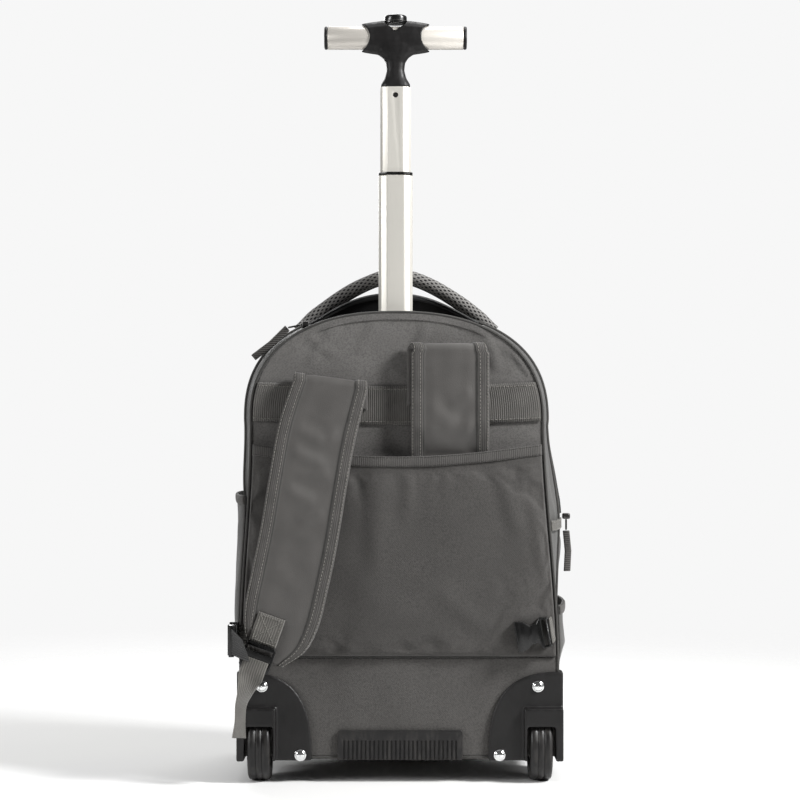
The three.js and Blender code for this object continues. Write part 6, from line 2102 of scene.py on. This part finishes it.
@dataclass
class Undercarriage:
    """Wheel housings with rivets and axles, wheels, bottom guard and front foot."""

    wheel_x: float = 141.0
    axle_y: float = 22.0
    axle_z: float = 35.0
    half: float = 11.5
    rivet: float = 5.6

    def centre(self, hand: int) -> tuple[float, float, float]:
        """Middle of a wheel."""
        return (hand * self.wheel_x, self.axle_y, self.axle_z)

    def rivets(self, hand: Hand, shop: Workshop) -> None:
        """Builds the two domed rivets of one housing."""
        turn = np.linspace(0, math.pi / 2, 12)
        domed = np.stack([self.rivet * 0.86 * np.cos(turn), -0.7 - 2.3 * np.sin(turn)], -1)
        rim = self.rivet + 0.3
        brim = np.array([[0.02, 0.0], [rim, 0.0], [rim, -0.5], [self.rivet * 0.9, -0.8]])
        profile = np.concatenate([brim, domed[:-1], [[0.02, -3.0]]])
        places = {
            "upper": (hand.value * 138.0, -3.6, 97.0),
            "lower": (hand.value * 99.5, -3.6, 28.4),
        }
        for which, place in places.items():
            dome = lathe(f"rivet_dome_{which}_{hand.label}", profile, place, 1, 48)
            shop.place(dome, "bag", CHROME, [f"rivet_{which}_{hand.label}"], "chrome")

    def wheel(self, hand: Hand, shop: Workshop) -> None:
        """Builds one wheel: tyre with two fine grooves, and dished hub."""
        w, r = self.half, 35.0
        turn = np.linspace(0, math.pi / 2, 8)
        shoulder = np.stack([r - 4.2 + 4.2 * np.sin(turn), -w + 4.2 - 4.2 * np.cos(turn)], -1)
        near = np.array([[22.3, 1.5], [24.0, 0.5], [26.5, 0.1], [27.2, 0.7], [27.9, 0.1]])
        near = near - np.array([0, w])
        groove = np.array([[r, -3.7], [r - 0.8, -3.3], [r - 0.8, -2.7], [r, -2.3]])
        left = np.concatenate([near, shoulder, groove])
        right = left[::-1] * np.array([1, -1])
        profile = np.concatenate([left, right])
        tyre = lathe(f"tyre_rubber_{hand.label}", profile, self.centre(hand.value), 0, 120)
        shop.place(tyre, f"wheel_{hand.label}", TYRE, [f"tyre_{hand.label}"], "rubber")
        hub = smooth_copy(f"wheel_hub_{hand.label}", f"hub_disc_{hand.label}", 0.8, 3)
        shop.place(hub, f"wheel_{hand.label}", PLASTIC, [f"wheel_hub_{hand.label}"], "plastic")

    def build(self, shop: Workshop) -> None:
        """Builds everything below."""
        for hand in Hand:
            housing = smooth_copy(f"housing_{hand.label}", f"corner_housing_{hand.label}", 1.25, 5)
            shop.place(housing, "bag", PLASTIC, [f"housing_{hand.label}"], "plastic")
            axle = rounded_copy(f"axle_{hand.label}", f"axle_pin_{hand.label}", 0.7, 40)
            shop.place(axle, "bag", CHROME, [f"axle_{hand.label}"], "chrome")
            self.rivets(hand, shop)
            self.wheel(hand, shop)
        Moulding("bottom_guard", "ribbed_guard", "bag", GUARD, "rubber", 0.35).build(shop)
        Moulding("front_foot", "front_block", "bag", PLASTIC, "plastic", 1.4).build(shop)


@dataclass
class Pole:
    """The telescopic pole with its collar, lock marks and T-shaped grip."""

    bar_z: float = 748.8
    bar_y: float = 24.3
    bar_left: float = -73.0
    bar_right: float = 64.0
    bar_radius: float = 11.6
    bar_bore: float = 9.8
    rim_z: float = 765.4
    middle_x: float = -4.5

    def tubes(self, shop: Workshop) -> None:
        """Builds the tubes, the collar and the locking marks."""
        tubes = [
            Moulding("outer_tube", "outer_sleeve", "bag", SATIN, "satin", 0.9, 12, False),
            Moulding("middle_tube", "middle_sleeve", "middle_stage", SATIN, "satin", 0.9, 12, False),
            Moulding("inner_tube", "inner_sleeve", "inner_stage", SATIN, "satin", 0.8, 12, False),
            Moulding("tube_collar", "sleeve_collar", "middle_stage", GLOSS, "plastic", 0.5, 20, False),
            Moulding("grip_pin", "lock_pin", "inner_stage", ZINC, "zinc", 0.3, 30),
        ]
        for piece in tubes:
            piece.build(shop)
        low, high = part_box("middle_tube")
        near = low.y * 1000 - AXES.y * 1000
        for index, (x, z) in enumerate(((-12.4, 593.0), (-12.4, 573.5), (12.4, 593.0), (12.4, 573.5))):
            turn = np.linspace(0, 2 * math.pi, 20, endpoint=False)[None, :]
            radius = np.array([0.01, 0.5, 0.8, 1.0])[:, None]
            rise = np.array([-0.35, -0.35, -0.3, 0.4])[:, None]
            px = self.middle_x + x + 1.5 * radius * np.cos(turn)
            py = near + 2.6 + rise + 0 * turn
            pz = z + 3.4 * radius * np.sin(turn)
            mark = grid(f"lock_mark_{index + 1}", np.stack([px, py, pz], -1), ring=True, caps=True)
            shop.place(mark, "middle_stage", GLOSS, slot="plastic")

    def grip(self, shop: Workshop) -> None:
        """Builds hub, bar, end caps and button."""
        hub = smooth_copy("grip_hub", "grip_body", 0.9, 9)
        shop.place(hub, "inner_stage", GRIP_BLACK, ["grip_hub"], "plastic")
        r, half = self.bar_radius, (self.bar_right - self.bar_left) / 2
        end = np.array([[self.bar_bore, -half], [r - 0.5, -half], [r, -half + 0.6]])
        profile = np.concatenate([end, end[::-1] * np.array([1, -1])])
        centre = ((self.bar_left + self.bar_right) / 2, self.bar_y, self.bar_z)
        bar = lathe("grip_tube", profile, centre, 0, 96)
        shop.place(bar, "inner_stage", BAR_SATIN, ["grip_bar"], "satin")
        for hand in Hand:
            name = f"end_cap_{hand.label}"
            cap = rounded_copy(name, f"grip_end_{hand.label}", 0.9, 25)
            shop.place(cap, "inner_stage", GRIP_BLACK, [name], "plastic")
        button = rounded_copy("release_button", "push_button", 1.0, 25, 4)
        shop.place(button, "button", GLOSS, ["release_button"], "plastic")
        low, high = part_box("release_button")
        wide, deep = (high.x - low.x) * 500, (high.y - low.y) * 500
        turn = np.linspace(0, 2 * math.pi, 64, endpoint=False)
        middle = ((low.x + high.x) * 500 - AXES.x * 1000, (low.y + high.y) * 500 - AXES.y * 1000)
        x = middle[0] + (wide + 0.5) * np.cos(turn)
        y = middle[1] + (deep + 0.4) * np.sin(turn)
        ring = np.stack([x, y, self.rim_z + 0 * turn], -1)
        rim = tube("button_rim", ring, 0.45, 10, closed=True)
        shop.place(rim, "inner_stage", ZINC, slot="chrome")

    def build(self, shop: Workshop) -> None:
        """Builds the pole."""
        self.tubes(shop)
        self.grip(shop)


# The studio


@dataclass
class Studio:
    """Camera, soft lights and a pale floor that fades into the backdrop."""

    distance: float = 2200.0
    height: float = 383.0
    lens: float = 99.0
    room: float = 0.11
    paper: float = 0.93
    floor_gap: float = 0.05
    floor_reach: float = 3200.0

    def camera(self) -> None:
        """Looks at the strap side, level, from the photograph's place."""
        data = bpy.data.cameras.new("camera")
        data.lens = self.lens
        data.sensor_width = 36.0
        data.clip_end = 50.0
        made = bpy.data.objects.new("camera", data)
        made.location = AXES.point(0, -self.distance, self.height)
        made.rotation_euler = (math.pi / 2, 0, 0)
        bpy.context.scene.collection.objects.link(made)
        bpy.context.scene.camera = made

    @staticmethod
    def light(name: str, place: Sequence[float], aim: Sequence[float], size: float, watts: float) -> None:
        """Places a square soft light.

        Args:
            name: The light's name.
            place: Its place, in the bag's millimetres.
            aim: What it points at.
            size: Its side, in metres.
            watts: Its power.
        """
        data = bpy.data.lights.new(name, "AREA")
        data.size = size
        data.energy = watts
        made = bpy.data.objects.new(name, data)
        made.location = AXES.point(*place)
        made.rotation_euler = (AXES.point(*aim) - made.location).to_track_quat("-Z", "Y").to_euler()
        bpy.context.scene.collection.objects.link(made)

    def floor(self) -> None:
        """Builds a pale disc that fades at its rim."""
        radius = np.concatenate([[0.01], np.linspace(40, self.floor_reach, 50)])[:, None]
        turn = np.linspace(0, 2 * math.pi, 96, endpoint=False)[None, :]
        low = 0 * radius * turn - self.floor_gap
        points = np.stack([radius * np.cos(turn), 100 + radius * np.sin(turn), low], -1)
        disc = grid("floor", points, ring=True)
        facing(disc, (0, 0, 1))
        recipe = Recipe("floor_paper")
        x, y, _ = recipe.room_place()
        away = (x * x + (y - 30.0) * (y - 30.0)).maths_on("SQRT")
        tone = recipe.mix(recipe.noise(400.0, 2.0).step(0.3, 0.7), (0.8, 0.8, 0.8), (0.83, 0.83, 0.82))
        fade = 1 - away.step(380.0, 1500.0)
        recipe.surface(Base_Color=tone, Roughness=0.9, Alpha=fade, Specular_IOR_Level=0.1)
        disc.data.materials.append(recipe.material)

    def backdrop(self) -> None:
        """Sets the even, bright room and the picture's tones."""
        world = bpy.data.worlds.new("room")
        world.use_nodes = True
        tree = world.node_tree
        soft = tree.nodes["Background"]
        soft.inputs["Strength"].default_value = self.room
        paper = tree.nodes.new("ShaderNodeBackground")
        paper.inputs["Color"].default_value = (1, 1, 1, 1)
        paper.inputs["Strength"].default_value = self.paper
        soft.inputs["Color"].default_value = (1, 1, 1, 1)
        seen = tree.nodes.new("ShaderNodeLightPath")
        mixed = tree.nodes.new("ShaderNodeMixShader")
        tree.links.new(seen.outputs["Is Camera Ray"], mixed.inputs[0])
        tree.links.new(soft.outputs[0], mixed.inputs[1])
        tree.links.new(paper.outputs[0], mixed.inputs[2])
        tree.links.new(mixed.outputs[0], tree.nodes["World Output"].inputs["Surface"])
        bpy.context.scene.world = world
        bpy.context.scene.view_settings.view_transform = "Standard"

    def build(self) -> None:
        """Builds the studio."""
        self.backdrop()
        self.camera()
        self.floor()
        self.light("right_box", (1900, -900, 1000), (0, 0, 330), 0.8, 9)
        self.light("left_box", (-1950, -900, 900), (0, 0, 330), 0.7, 26)
        self.light("high_box", (1300, -620, 1300), (0, 0, 380), 0.4, 50)
        self.light("top_box", (100, 600, 2000), (0, 0, 300), 0.9, 14)
        self.light("rear_box", (-700, 2300, 1300), (0, 100, 300), 1.4, 36)


def main() -> None:
    """Builds the backpack piece by piece."""
    logging.basicConfig(level=logging.INFO, format="%(name)s: %(message)s")
    Studio().build()
    shop = Workshop()
    BackPanels().build(shop)
    TrolleyBand().build(shop)
    MainBody().build(shop)
    SidePocket(Hand.LEFT, 287.0).build(shop)
    SidePocket(Hand.RIGHT, 177.0).build(shop)
    StrapPocket().build(shop)
    WebbingBand().build(shop)
    straps = Straps()
    straps.build(shop)
    Adjuster(straps).build(shop)
    Handle().build(shop)
    Buckles().build(shop)
    Undercarriage().build(shop)
    Pole().build(shop)
    bpy.context.view_layer.update()
    log.info("%d pieces", shop.count)


if __name__ == "__main__":
    main()
